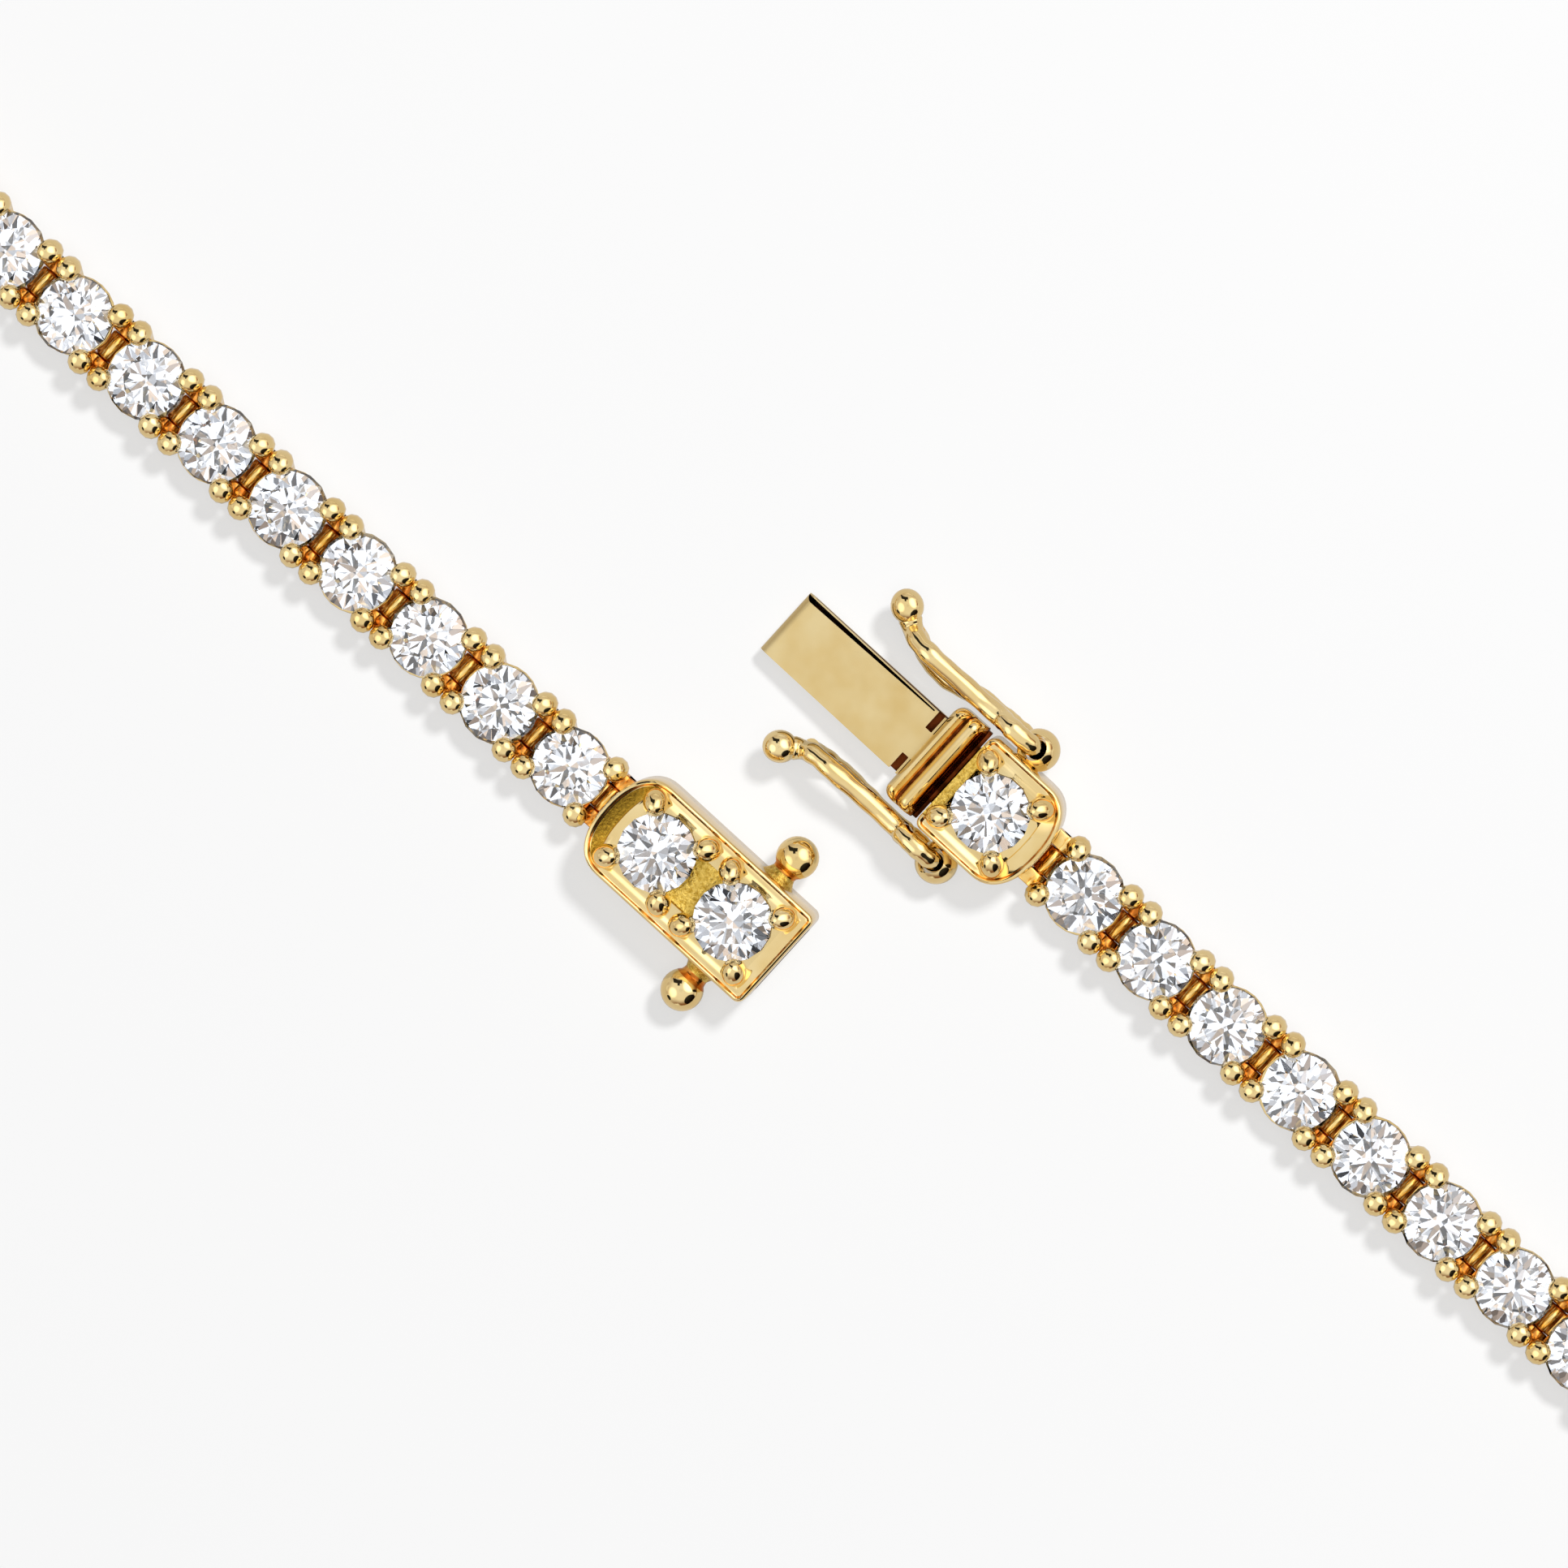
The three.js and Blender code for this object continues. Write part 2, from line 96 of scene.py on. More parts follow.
def around(count, shift=0.0):
    """Evenly spaced turns round a circle"""
    return [2 * math.pi * (k + shift) / count for k in range(count)]


def linked(name, data):
    """New object in the scene"""
    made = bpy.data.objects.new(name, data)
    bpy.context.scene.collection.objects.link(made)
    return made


def skin(bm, rings):
    """Joins closed rings of points, each as long as the last, into a capped tube; returns its faces"""
    rows = [[bm.verts.new(point) for point in ring] for ring in rings]
    count = len(rows[0])
    faces = []
    for low, high in zip(rows, rows[1:]):
        for i in range(count):
            j = (i + 1) % count
            faces.append(bm.faces.new((low[i], low[j], high[j], high[i])))
    faces.append(bm.faces.new(list(reversed(rows[0]))))
    faces.append(bm.faces.new(rows[-1]))
    return faces


def turned(bm, profile, sides, place=None):
    """Turns [radius, height] pairs about +Z, from the bottom pole to the top one"""
    place = place or Matrix.Identity(4)
    rows = []
    for radius, height in profile[1:-1]:
        row = []
        for turn in around(sides, 0.5):
            point = Vector((radius * math.cos(turn), radius * math.sin(turn), height))
            row.append(bm.verts.new(place @ point))
        rows.append(row)
    bottom = bm.verts.new(place @ Vector((0, 0, profile[0][1])))
    top = bm.verts.new(place @ Vector((0, 0, profile[-1][1])))
    for i in range(sides):
        j = (i + 1) % sides
        bm.faces.new((bottom, rows[0][j], rows[0][i]))
        bm.faces.new((top, rows[-1][i], rows[-1][j]))
        for low, high in zip(rows, rows[1:]):
            bm.faces.new((low[i], low[j], high[j], high[i]))


def block(bm, x0, x1, y0, y1, z0, z1, bevel=0.0, segments=2):
    """Box between two corners, with rounded edges where a bevel is given"""
    corners = bmesh.ops.create_cube(bm, size=1.0)["verts"]
    size = Vector((x1 - x0, y1 - y0, z1 - z0))
    middle = Vector(((x0 + x1) / 2, (y0 + y1) / 2, (z0 + z1) / 2))
    for corner in corners:
        corner.co = middle + Vector(c * s for c, s in zip(corner.co, size))
    if bevel:
        edges = list({edge for corner in corners for edge in corner.link_edges})
        bmesh.ops.bevel(bm, geom=edges, offset=bevel, segments=segments, affect="EDGES", profile=0.5)


def cross_pin(bm, radius, y0, y1, z, x=0.0, sides=12, edge=0.04):
    """Cylinder along Y with eased ends"""
    rows = [(radius - edge, y0), (radius, y0 + edge), (radius, y1 - edge), (radius - edge, y1)]
    turns = around(sides, 0.5)
    rings = []
    for size, y in rows:
        rings.append([Vector((x + size * math.sin(turn), y, z + size * math.cos(turn))) for turn in turns])
    skin(bm, rings)


def tube(bm, points, radii, sides):
    """Round wire through points"""
    ahead, behind = [*points[1:], points[-1]], [points[0], *points[:-1]]
    across = (points[1] - points[0]).normalized().orthogonal().normalized()
    rings = []
    for point, after, before, radius in zip(points, ahead, behind, radii):
        direction = (after - before).normalized()
        across = (across - direction * across.dot(direction)).normalized()
        beside = direction.cross(across)
        ring = []
        for turn in around(sides):
            ring.append(point + radius * (math.cos(turn) * across + math.sin(turn) * beside))
        rings.append(ring)
    skin(bm, rings)


def to_object(bm, name, materials=(), sharp_angle=35.0, smooth=True, origin=ORIGIN):
    """Mesh in millimetres about the clasp's middle -> object in metres, in the part's frame"""
    bmesh.ops.recalc_face_normals(bm, faces=bm.faces)
    for face in bm.faces:
        face.smooth = smooth
    bm.transform(Matrix.Translation(origin) @ Matrix.Scale(MM, 4))
    mesh = bpy.data.meshes.new(name)
    bm.to_mesh(mesh)
    bm.free()
    if smooth:
        mesh.set_sharp_from_angle(angle=math.radians(sharp_angle))
    for material in materials:
        mesh.materials.append(material)
    return linked(name, mesh)


def applied(made):
    """Turns an object's modifiers into its plain mesh"""
    depsgraph = bpy.context.evaluated_depsgraph_get()
    mesh = bpy.data.meshes.new_from_object(made.evaluated_get(depsgraph), depsgraph=depsgraph)
    made.modifiers.clear()
    made.data = mesh
    mesh.name = made.name
    return made


def discard(made):
    bpy.data.objects.remove(made, do_unlink=True)


def carve(made, cutters, sharp_angle=35.0):
    """Cuts each cutter out of an object, then throws the cutters away"""
    for cutter in cutters:
        cut = made.modifiers.new(cutter.name, "BOOLEAN")
        cut.operation = "DIFFERENCE"
        cut.solver = "EXACT"
        cut.object = cutter
    applied(made)
    for cutter in cutters:
        discard(cutter)
    made.data.set_sharp_from_angle(angle=math.radians(sharp_angle))
    return made


# ---- Materials ----


class Wire:
    """A socket in a node tree that takes part in arithmetic"""

    def __init__(self, shader, socket):
        self.shader = shader
        self.socket = socket

    def _maths(self, operation, *values):
        return self.shader.node("ShaderNodeMath", {"operation": operation}, dict(enumerate(values)))

    def __add__(self, other):
        return self._maths("ADD", self, other)

    def __radd__(self, other):
        return self._maths("ADD", other, self)

    def __sub__(self, other):
        return self._maths("SUBTRACT", self, other)

    def __rsub__(self, other):
        return self._maths("SUBTRACT", other, self)

    def __mul__(self, other):
        return self._maths("MULTIPLY", self, other)

    def __rmul__(self, other):
        return self._maths("MULTIPLY", other, self)


class Shader:
    """Builds the node tree of one material or world"""

    def __init__(self, owner):
        self.owner = owner
        owner.use_nodes = True
        self.tree = owner.node_tree
        self.tree.nodes.clear()

    def node(self, kind, settings=None, inputs=None, output=0):
        made = self.tree.nodes.new(kind)
        for name, value in (settings or {}).items():
            if name == "stops":
                elements = made.color_ramp.elements
                while len(elements) < len(value):
                    elements.new(1.0)
                for element, (position, colour) in zip(elements, value):
                    element.position = position
                    element.color = (*colour, 1.0)
            else:
                setattr(made, name, value)
        for name, value in (inputs or {}).items():
            if isinstance(value, Wire):
                self.tree.links.new(value.socket, made.inputs[name])
            else:
                made.inputs[name].default_value = value
        return Wire(self, made.outputs[output])

    def finish(self, surface, kind="ShaderNodeOutputMaterial"):
        out = self.tree.nodes.new(kind)
        self.tree.links.new(surface.socket, out.inputs["Surface"])
        return self.owner


def object_place(shader):
    return shader.node("ShaderNodeTexCoord", output=3)


def colour_mix(shader, factor, low, high, blend="MIX"):
    settings = {"data_type": "RGBA", "blend_type": blend}
    return shader.node("ShaderNodeMix", settings, {0: factor, 6: low, 7: high}, output=2)


def shader_mix(shader, factor, low, high):
    return shader.node("ShaderNodeMixShader", inputs={0: factor, 1: low, 2: high})


def kept(recipe):
    """Turns a recipe into a material that is made once, under the recipe's own name"""

    def finish():
        name = recipe.__name__
        made = bpy.data.materials.get(name)
        if made is None:
            shader = Shader(bpy.data.materials.new(name))
            made = recipe(shader, object_place(shader), bpy.context.scene.necklace_finish)
        return made

    return finish


def ramp(shader, stops, factor):
    return shader.node("ShaderNodeValToRGB", {"stops": stops}, {"Fac": factor})


def noise(shader, place, scale, detail=2.0, roughness=0.5):
    inputs = {"Vector": place, "Scale": scale, "Detail": detail, "Roughness": roughness}
    return shader.node("ShaderNodeTexNoise", inputs=inputs)


def shaded(colour, share):
    return [share * part for part in colour]


def metal(shader, colour, roughness, bump_height, bump_strength, depth=0.00005):
    bump = {"Strength": bump_strength, "Distance": depth, "Height": bump_height}
    inputs = {
        "Base Color": colour,
        "Metallic": 1.0,
        "Roughness": roughness,
        "Normal": shader.node("ShaderNodeBump", inputs=bump),
    }
    return shader.finish(shader.node("ShaderNodeBsdfPrincipled", inputs=inputs))


@kept
def polished_gold(shader, place, finish):
    """Mirror polish with faint swirl marks and a slow drift of colour"""
    drift = noise(shader, place, 700.0)
    swirl = noise(shader, place, 2600.0, 3.0)
    colour = ramp(shader, [(0.3, finish.gold_deep), (0.7, finish.gold_pale)], drift)
    return metal(shader, colour, finish.polish * (0.7 + 0.6 * swirl), drift, 0.05)


@kept
def drawn_gold(shader, place, finish):
    """Polished wire that still shows the ripples of its bending"""
    drift = noise(shader, place, 700.0)
    ripple = noise(shader, place, 480.0, 0.0)
    colour = ramp(shader, [(0.3, finish.gold_deep), (0.7, finish.gold_pale)], drift)
    return metal(shader, colour, finish.polish * (0.7 + 0.6 * drift), ripple, 0.9, 0.00025)


@kept
def rolled_gold(shader, place, finish):
    """Sheet with a soft polish: it blurs what it mirrors, and keeps faint marks of the rolls"""
    drift = noise(shader, place, 700.0)
    marks = noise(shader, place, 3200.0, 3.0)
    # The sheet's gold tones are three quarters of the polished gold's: painted shade, so the sheet mirrors
    # darker
    deep, pale = shaded(finish.gold_deep, 0.75), shaded(finish.gold_pale, 0.75)
    colour = ramp(shader, [(0.3, deep), (0.7, pale)], drift)
    return metal(shader, colour, 0.30 + 0.12 * marks, marks, 0.04)


@kept
def grained_gold(shader, place, finish):
    """Frosted floor of the recesses with the grain of a casting; its tones, darker than the polish, are
    partly painted shade in the recess, and painted shade darkens them further at the box's round end
    """
    grain = noise(shader, place, 8000.0, 3.0, 0.6)
    patch = noise(shader, place, 1500.0)
    # Painted shade: towards the box's round end the grain's tones are pulled down to the darkest one
    reach = shader.node("ShaderNodeSeparateXYZ", inputs={0: place}, output=0)
    inputs = {0: reach, 1: ORIGIN.x - 4.1 * MM, 2: ORIGIN.x - 2.6 * MM, 3: 0.5, 4: 1.0}
    end_shade = shader.node("ShaderNodeMapRange", {"interpolation_type": "SMOOTHSTEP"}, inputs)
    tones = [(0.1, (0.16, 0.09, 0.01)), (0.35, finish.gold_recess), (0.65, finish.gold_recess_bright)]
    colour = ramp(shader, tones, grain * end_shade)
    return metal(shader, colour, 0.2 + 0.14 * patch, grain, 0.9)


@kept
def deep_gold(shader, place, finish):
    """Gold down between the links, darker and redder than the polish: painted shade, and painted reflection
    of the gold around it
    """
    drift = noise(shader, place, 2600.0)
    rub = noise(shader, place, 7000.0, 3.0)
    colour = ramp(shader, [(0.4, finish.gold_joint), (0.6, finish.gold_joint_bright)], drift)
    return metal(shader, colour, 0.14 + 0.12 * rub, drift, 0.25)


@kept
def tab_gold(shader, place, finish):
    """Tops of the tabs between the links, orange and brighter than the joints: painted shade and painted
    reflection of the gold around them
    """
    drift = noise(shader, place, 1600.0)
    colour = ramp(shader, [(0.35, finish.gold_tab), (0.65, finish.gold_tab_bright)], drift)
    return metal(shader, colour, 0.16 + 0.1 * drift, drift, 0.15)


@kept
def groove_gold(shader, place, finish):
    """Gold at the bottom of narrow grooves, where hardly any light comes back"""
    drift = noise(shader, place, 1800.0, 3.0)
    lit = finish.gold_groove
    colour = ramp(shader, [(0.4, shaded(lit, 0.2)), (0.62, lit)], drift)
    return metal(shader, colour, 0.3 + 0.15 * drift, drift, 0.1)


@kept
def brilliant_stone(shader, place, finish):
    """Clear faceted stone, with the faintest waviness left by its polish"""
    haze = noise(shader, place, 1200.0)
    inputs = {
        "Base Color": (*finish.stone_tint, 1.0),
        "Metallic": 0.0,
        "Roughness": 0.01 + 0.02 * haze,
        "IOR": finish.stone_ior,
        "Transmission Weight": 1.0,
    }
    return shader.finish(shader.node("ShaderNodeBsdfPrincipled", inputs=inputs))


def pale_floor(studio):
    """Floor with a little light of its own, which polished gold mirrors darker than it is"""
    shader = Shader(bpy.data.materials.new("pale_floor"))
    mottle = noise(shader, object_place(shader), 60.0)
    shade = studio.floor_shade
    colour = ramp(shader, [(0.0, (shade * 0.99,) * 3), (1.0, (shade,) * 3)], mottle)
    inputs = {
        "Base Color": colour,
        "Roughness": 0.9,
        "Specular IOR Level": 0.0,
        "Emission Color": (1.0, 1.0, 1.0, 1.0),
        "Emission Strength": studio.floor_glow,
    }
    pale = shader.node("ShaderNodeBsdfPrincipled", inputs=inputs)
    dim = {"Base Color": (0.20, 0.13, 0.06, 1.0), "Roughness": 0.9, "Specular IOR Level": 0.0}
    mirrored = shader.node("ShaderNodeBsdfPrincipled", inputs=dim)
    glossy = shader.node("ShaderNodeLightPath", output="Is Glossy Ray")
    return shader.finish(shader_mix(shader, studio.floor_dimming * glossy, pale, mirrored))


def soft_dome(studio, right, up, overhead):
    """Soft light from overhead; mirrored metal and stones see a richer studio than the floor does"""
    shader = Shader(bpy.data.worlds.new("soft_dome"))
    way = shader.node("ShaderNodeTexCoord", output=0)

    def along(direction):
        inputs = {0: way, 1: direction.normalized()}
        return shader.node("ShaderNodeVectorMath", {"operation": "DOT_PRODUCT"}, inputs, output=1)

    def step(value, low, high):
        inputs = {0: value, 1: low, 2: high, 3: 0.0, 4: 1.0}
        return shader.node("ShaderNodeMapRange", {"interpolation_type": "SMOOTHSTEP"}, inputs)

    def towards(direction, near, far):
        """1 within so many degrees of a direction, 0 beyond the far ones"""
        return step(along(direction), math.cos(math.radians(far)), math.cos(math.radians(near)))

    def band(value, low, high):
        """1 between two values, with soft edges"""
        edge = 0.03
        return step(value, low - edge, low + edge) * (1.0 - step(value, high - edge, high + edge))

    across, upwards = along(right), along(up)
    above = step(along(overhead), 0.0, 0.05)
    glow = 0.9 + 1.4 * towards(overhead + 1.0 * right + 0.5 * up, 16, 36)
    glow = glow + 0.8 * towards(overhead - 1.1 * right - 0.3 * up, 12, 30)
    glow = glow - 0.10 * towards(overhead, 5, 14)
    bar = band(upwards, 0.60, 0.84) * band(across, -0.62, 0.08)
    stem = band(upwards, 0.42, 0.62) * band(across, -0.32, -0.10)
    dark = above * step(bar + stem, 0.0, 1.0)
    dark = dark + towards(0.30 * overhead + 0.62 * right - 0.72 * up, 23, 29)
    dark = dark + towards(0.15 * overhead - 1.0 * right - 0.6 * up, 9, 13)
    patches = noise(shader, way, 1.9, 1.0)
    walls = (1.0 - step(along(overhead), 0.12, 0.70)) * step(patches, 0.34, 0.54)
    walls = walls * (0.45 + 0.55 * step(along(right - up), -0.1, 0.55))
    warm = colour_mix(shader, 0.96 * walls, (1.0, 1.0, 1.0, 1.0), (0.24, 0.10, 0.03, 1.0))
    mirrored = glow * (1.0 - 0.97 * step(dark, 0.0, 1.0))

    cells = shader.node("ShaderNodeTexVoronoi", {"feature": "F1"}, {"Vector": way, "Scale": 4.6}, output=1)
    drawn = shader.node("ShaderNodeSeparateColor", inputs={0: cells}, output=0)
    tinted = shader.node("ShaderNodeSeparateColor", inputs={0: cells}, output=1)
    greys = ((0.0, 0.02), (0.14, 0.14), (0.30, 0.58), (0.50, 1.0))
    cool, white, tan = (0.95, 1.0, 1.09), (1.0, 1.0, 1.0), (0.72, 0.56, 0.42)
    sparkle = ramp(shader, [(at, shaded(cool, value)) for at, value in greys], drawn)
    tints = ramp(shader, [(0.0, white), (0.84, white), (0.90, tan)], tinted)
    fire = colour_mix(shader, 1.0, sparkle, tints, "MULTIPLY")
    hidden = towards(overhead + 0.1 * right + 0.05 * up, 5, 8)
    fire = colour_mix(shader, 0.75 * hidden, fire, (0.26, 0.17, 0.10, 1.0))

    def background(strength, colour):
        return shader.node("ShaderNodeBackground", inputs={"Color": colour, "Strength": strength})

    overhead_glow = 0.04 + 4.2 * towards(overhead + 0.05 * right + 0.05 * up, 6, 24)
    seen = background(studio.dome * overhead_glow, (0.8, 0.8, 0.8, 1.0))
    for ray, light in (
        ("Is Glossy Ray", background(studio.mirrored * mirrored, warm)),
        ("Is Transmission Ray", background(studio.sparkle, fire)),
        ("Is Camera Ray", background(1.0, (0.94, 0.94, 0.94, 1.0))),
    ):
        seen = shader_mix(shader, shader.node("ShaderNodeLightPath", output=ray), seen, light)
    return shader.finish(seen, "ShaderNodeOutputWorld")


# ---- Brilliant-cut stones ----

# Heights of a stone's crown and pavilion, and thickness of its girdle
CHAIN_CUT = (0.44, 1.27, 0.05)
CLASP_CUT = (0.44, 1.3, 0.06)
# Table's width, how far the stars reach towards the girdle, and how near the culet the lower halves end
TABLE_SHARE, STAR_SHARE, LOWER_SHARE = 0.57, 0.5, 0.24


def brilliant(bm, radius, cut, z, place=None):
    """Round brilliant: table, 8 stars, 8 kites, 16 upper and 16 lower halves, 8 mains"""
    place = place or Matrix.Identity(4)
    crown, pavilion, girdle = cut
    table = TABLE_SHARE * radius
    top, low, culet = z + girdle + crown, z, z - pavilion
    crown_slope = crown / (radius - table)
    main_slope = pavilion / radius
    eighth = math.pi / 4
    half = eighth / 2

    def at(r, turn, height):
        return bm.verts.new(place @ Vector((r * math.cos(turn), r * math.sin(turn), height)))

    flat = table * math.cos(half)
    star_r = flat + STAR_SHARE * (radius - flat)
    star_z = top - (star_r * math.cos(half) - table) * crown_slope
    lower_r = LOWER_SHARE * radius
    lower_z = culet + lower_r * math.cos(half) * main_slope
    tables = [at(table, k * eighth, top) for k in range(8)]
    stars = [at(star_r, (k + 0.5) * eighth, star_z) for k in range(8)]
    upper = [at(radius, k * half, z + girdle) for k in range(16)]
    lower = [at(radius, k * half, low) for k in range(16)]
    halves = [at(lower_r, (k + 0.5) * eighth, lower_z) for k in range(8)]
    point = at(0, 0, culet)
    bm.faces.new(tables)
    for k in range(8):
        n, before = (k + 1) % 8, (k - 1) % 8
        a, b, c = 2 * k, 2 * k + 1, (2 * k + 2) % 16
        bm.faces.new((tables[k], stars[k], tables[n]))
        bm.faces.new((tables[k], stars[before], upper[a], stars[k]))
        bm.faces.new((stars[k], upper[a], upper[b]))
        bm.faces.new((stars[k], upper[b], upper[c]))
        bm.faces.new((upper[a], lower[a], lower[b], upper[b]))
        bm.faces.new((upper[b], lower[b], lower[c], upper[c]))
        bm.faces.new((halves[k], lower[b], lower[a]))
        bm.faces.new((halves[k], lower[c], lower[b]))
        bm.faces.new((point, halves[k], lower[a], halves[before]))


# ---- The loop's route ----


def loop_point(distance):
    """Point of the loop that far from the box's hinge, the way round to the head's hinge"""
    whole = 2 * LINKS_PER_STRAND * LINK_PITCH
    offset = HEAD_AXIS_Y - BOX_AXIS_Y
    box_run, head_run, far_run = ROUND_END_X + BOX_HINGE, ROUND_END_X - HEAD_HINGE, 2 * ROUND_END_X
    bends = whole - box_run - head_run - far_run
    head_radius = (bends - math.pi * offset / 2) / (2 * math.pi)
    box_radius = head_radius + offset / 2
    far_y = HEAD_AXIS_Y + 2 * head_radius

    def bend(x, radius, first_turn, along):
        turn = first_turn - along / radius
        return x + radius * math.cos(turn), far_y - radius + radius * math.sin(turn)

    legs = (
        (box_run, lambda s: (BOX_HINGE - s, BOX_AXIS_Y)),
        (math.pi * box_radius, lambda s: bend(-ROUND_END_X, box_radius, -math.pi / 2, s)),
        (far_run, lambda s: (s - ROUND_END_X, far_y)),
        (math.pi * head_radius, lambda s: bend(ROUND_END_X, head_radius, math.pi / 2, s)),
        (math.inf, lambda s: (ROUND_END_X - s, HEAD_AXIS_Y)),
    )
    for length, at in legs:
        if distance <= length:
            x, y = at(distance)
            return Vector((x, y, 0.0))
        distance -= length


# ---- Chain ----

# A prong from its foot to its tip: share of its place along and across the chain, height, radius
PRONG_COURSE = (
    (0.62, 0.62, 0.0, 0.60),
    (0.86, 0.92, 0.85, 0.68),
    (0.99, 1.05, 1.36, 0.80),
    (1.01, 1.04, 1.62, 0.96),
    (1.00, 1.00, 1.84, 1.00),
    (0.985, 0.975, 2.02, 0.92),
    (0.965, 0.95, 2.16, 0.72),
    (0.95, 0.935, 2.25, 0.46),
    (0.945, 0.93, 2.29, 0.20),
    (0.945, 0.93, 2.30, 0.04),
)
# Ring of the basket: radius at its foot and its head, thickness, low and high edge
GALLERIES = ((1.45, 1.525, 0.16, 1.26, 1.62), (0.91, 0.99, 0.24, 0.0, 0.42))


def gallery(bm, foot, head, thick, low, high, sides=24):
    """Ring of the basket, eased along its upper edge"""
    section = ((-thick, low), (0.0, low), (0.0, high - 0.06), (-0.05, high), (-thick, high))
    rows = []
    for inset, z in section:
        radius = inset + foot + (head - foot) * (z - low) / (high - low)
        ring = [(radius * math.cos(turn), radius * math.sin(turn), z) for turn in around(sides)]
        rows.append([bm.verts.new(point) for point in ring])
    rows.append(rows[0])
    for first, second in zip(rows, rows[1:]):
        for i in range(sides):
            j = (i + 1) % sides
            bm.faces.new((first[i], first[j], second[j], second[i]))


def four_prong_setting(bm, chain):
    """Open basket: two gallery rings and four shouldered prongs that bend in over the stone"""
    for ring in GALLERIES:
        gallery(bm, *ring)
    swell = chain.prong_ball / MM / 2
    for sx in (-1, 1):
        for sy in (-1, 1):
            x, y = sx * chain.prong_along / MM, sy * chain.prong_across / MM
            rings = []
            for kx, ky, z, radius in PRONG_COURSE:
                ring = []
                for turn in around(12, 0.5):
                    reach = swell * radius * Vector((math.cos(turn), math.sin(turn), 0))
                    ring.append(Vector((kx * x, ky * y, z)) + reach)
                rings.append(ring)
            skin(bm, rings)


# Marks of the faces between the links, which take painted shade: the joint gold and the tab gold
JOINT, TAB = 1, 2
# How far each stone is turned and tilted in its setting, at most, and the seed of the draw
STONE_TURN, STONE_TILT, STONE_SEED = math.pi / 8, math.radians(2.5), 11


def marked(bm, marks, mark, build, *sizes):
    """Adds a shape and marks its faces for a material of their own: the painted shade of the joints and
    tabs
    """
    first = len(bm.faces)
    build(bm, *sizes)
    bm.faces.ensure_lookup_table()
    for face in bm.faces[first:]:
        face[marks] = mark


def hinge_eye(bm, marks, direction=1):
    """Knuckle that reaches out to the next link's pin, at that end of the link, with a ribbed tab"""
    hinge = direction * LINK_PITCH / 2
    # The knuckle and its blocks take the joint gold, the bar on top the tab gold: painted shade between the
    # links
    marked(bm, marks, JOINT, cross_pin, EYE_RADIUS, -EYE_HALF, EYE_HALF, HINGE_Z, hinge)
    x0, x1 = sorted((hinge, direction * 0.9))
    marked(bm, marks, JOINT, block, x0, x1, -EYE_HALF, EYE_HALF, 0.6, 1.1, 0.06, 1)
    marked(bm, marks, TAB, cross_pin, 0.2, -0.5, 0.5, HINGE_Z + 0.3, hinge, 10)
    x0, x1 = sorted((direction * 0.75, hinge - direction * 0.38))
    for side in (-1, 1):
        y0, y1 = sorted((side * 0.5, side * EAR_FAR))
        marked(bm, marks, JOINT, block, x0, x1, y0, y1, 0.55, 1.0)


def hinge_fork(bm, marks):
    """Two ears and their pin at the start of the link"""
    hinge = -LINK_PITCH / 2
    # The pin and ears take the joint gold: painted shade between the links
    marked(bm, marks, JOINT, cross_pin, PIN_RADIUS, -PIN_HALF, PIN_HALF, HINGE_Z, hinge, 8)
    for side in (-1, 1):
        y0, y1 = sorted((side * EAR_NEAR, side * EAR_FAR))
        marked(bm, marks, JOINT, cross_pin, EAR_RADIUS, y0, y1, HINGE_Z, hinge, 12)
        marked(bm, marks, JOINT, block, hinge - 0.2, hinge + 0.8, y0, y1, 0.5, 1.12, 0.06, 1)


def pattern_object(bm, name, smooth=True):
    """Pattern piece about its own centre, in metres"""
    return to_object(bm, name, sharp_angle=50, smooth=smooth, origin=Vector((0, 0, 0)))


CHAIN_INPUTS = (
    ("Pattern", "Object"),
    ("First Pattern", "Object"),
    ("Random Turn", "Float"),
    ("Random Tilt", "Float"),
    ("Seed", "Int"),
    ("Finish", "Material"),
    ("Joint Finish", "Material"),
    ("Tab Finish", "Material"),
)


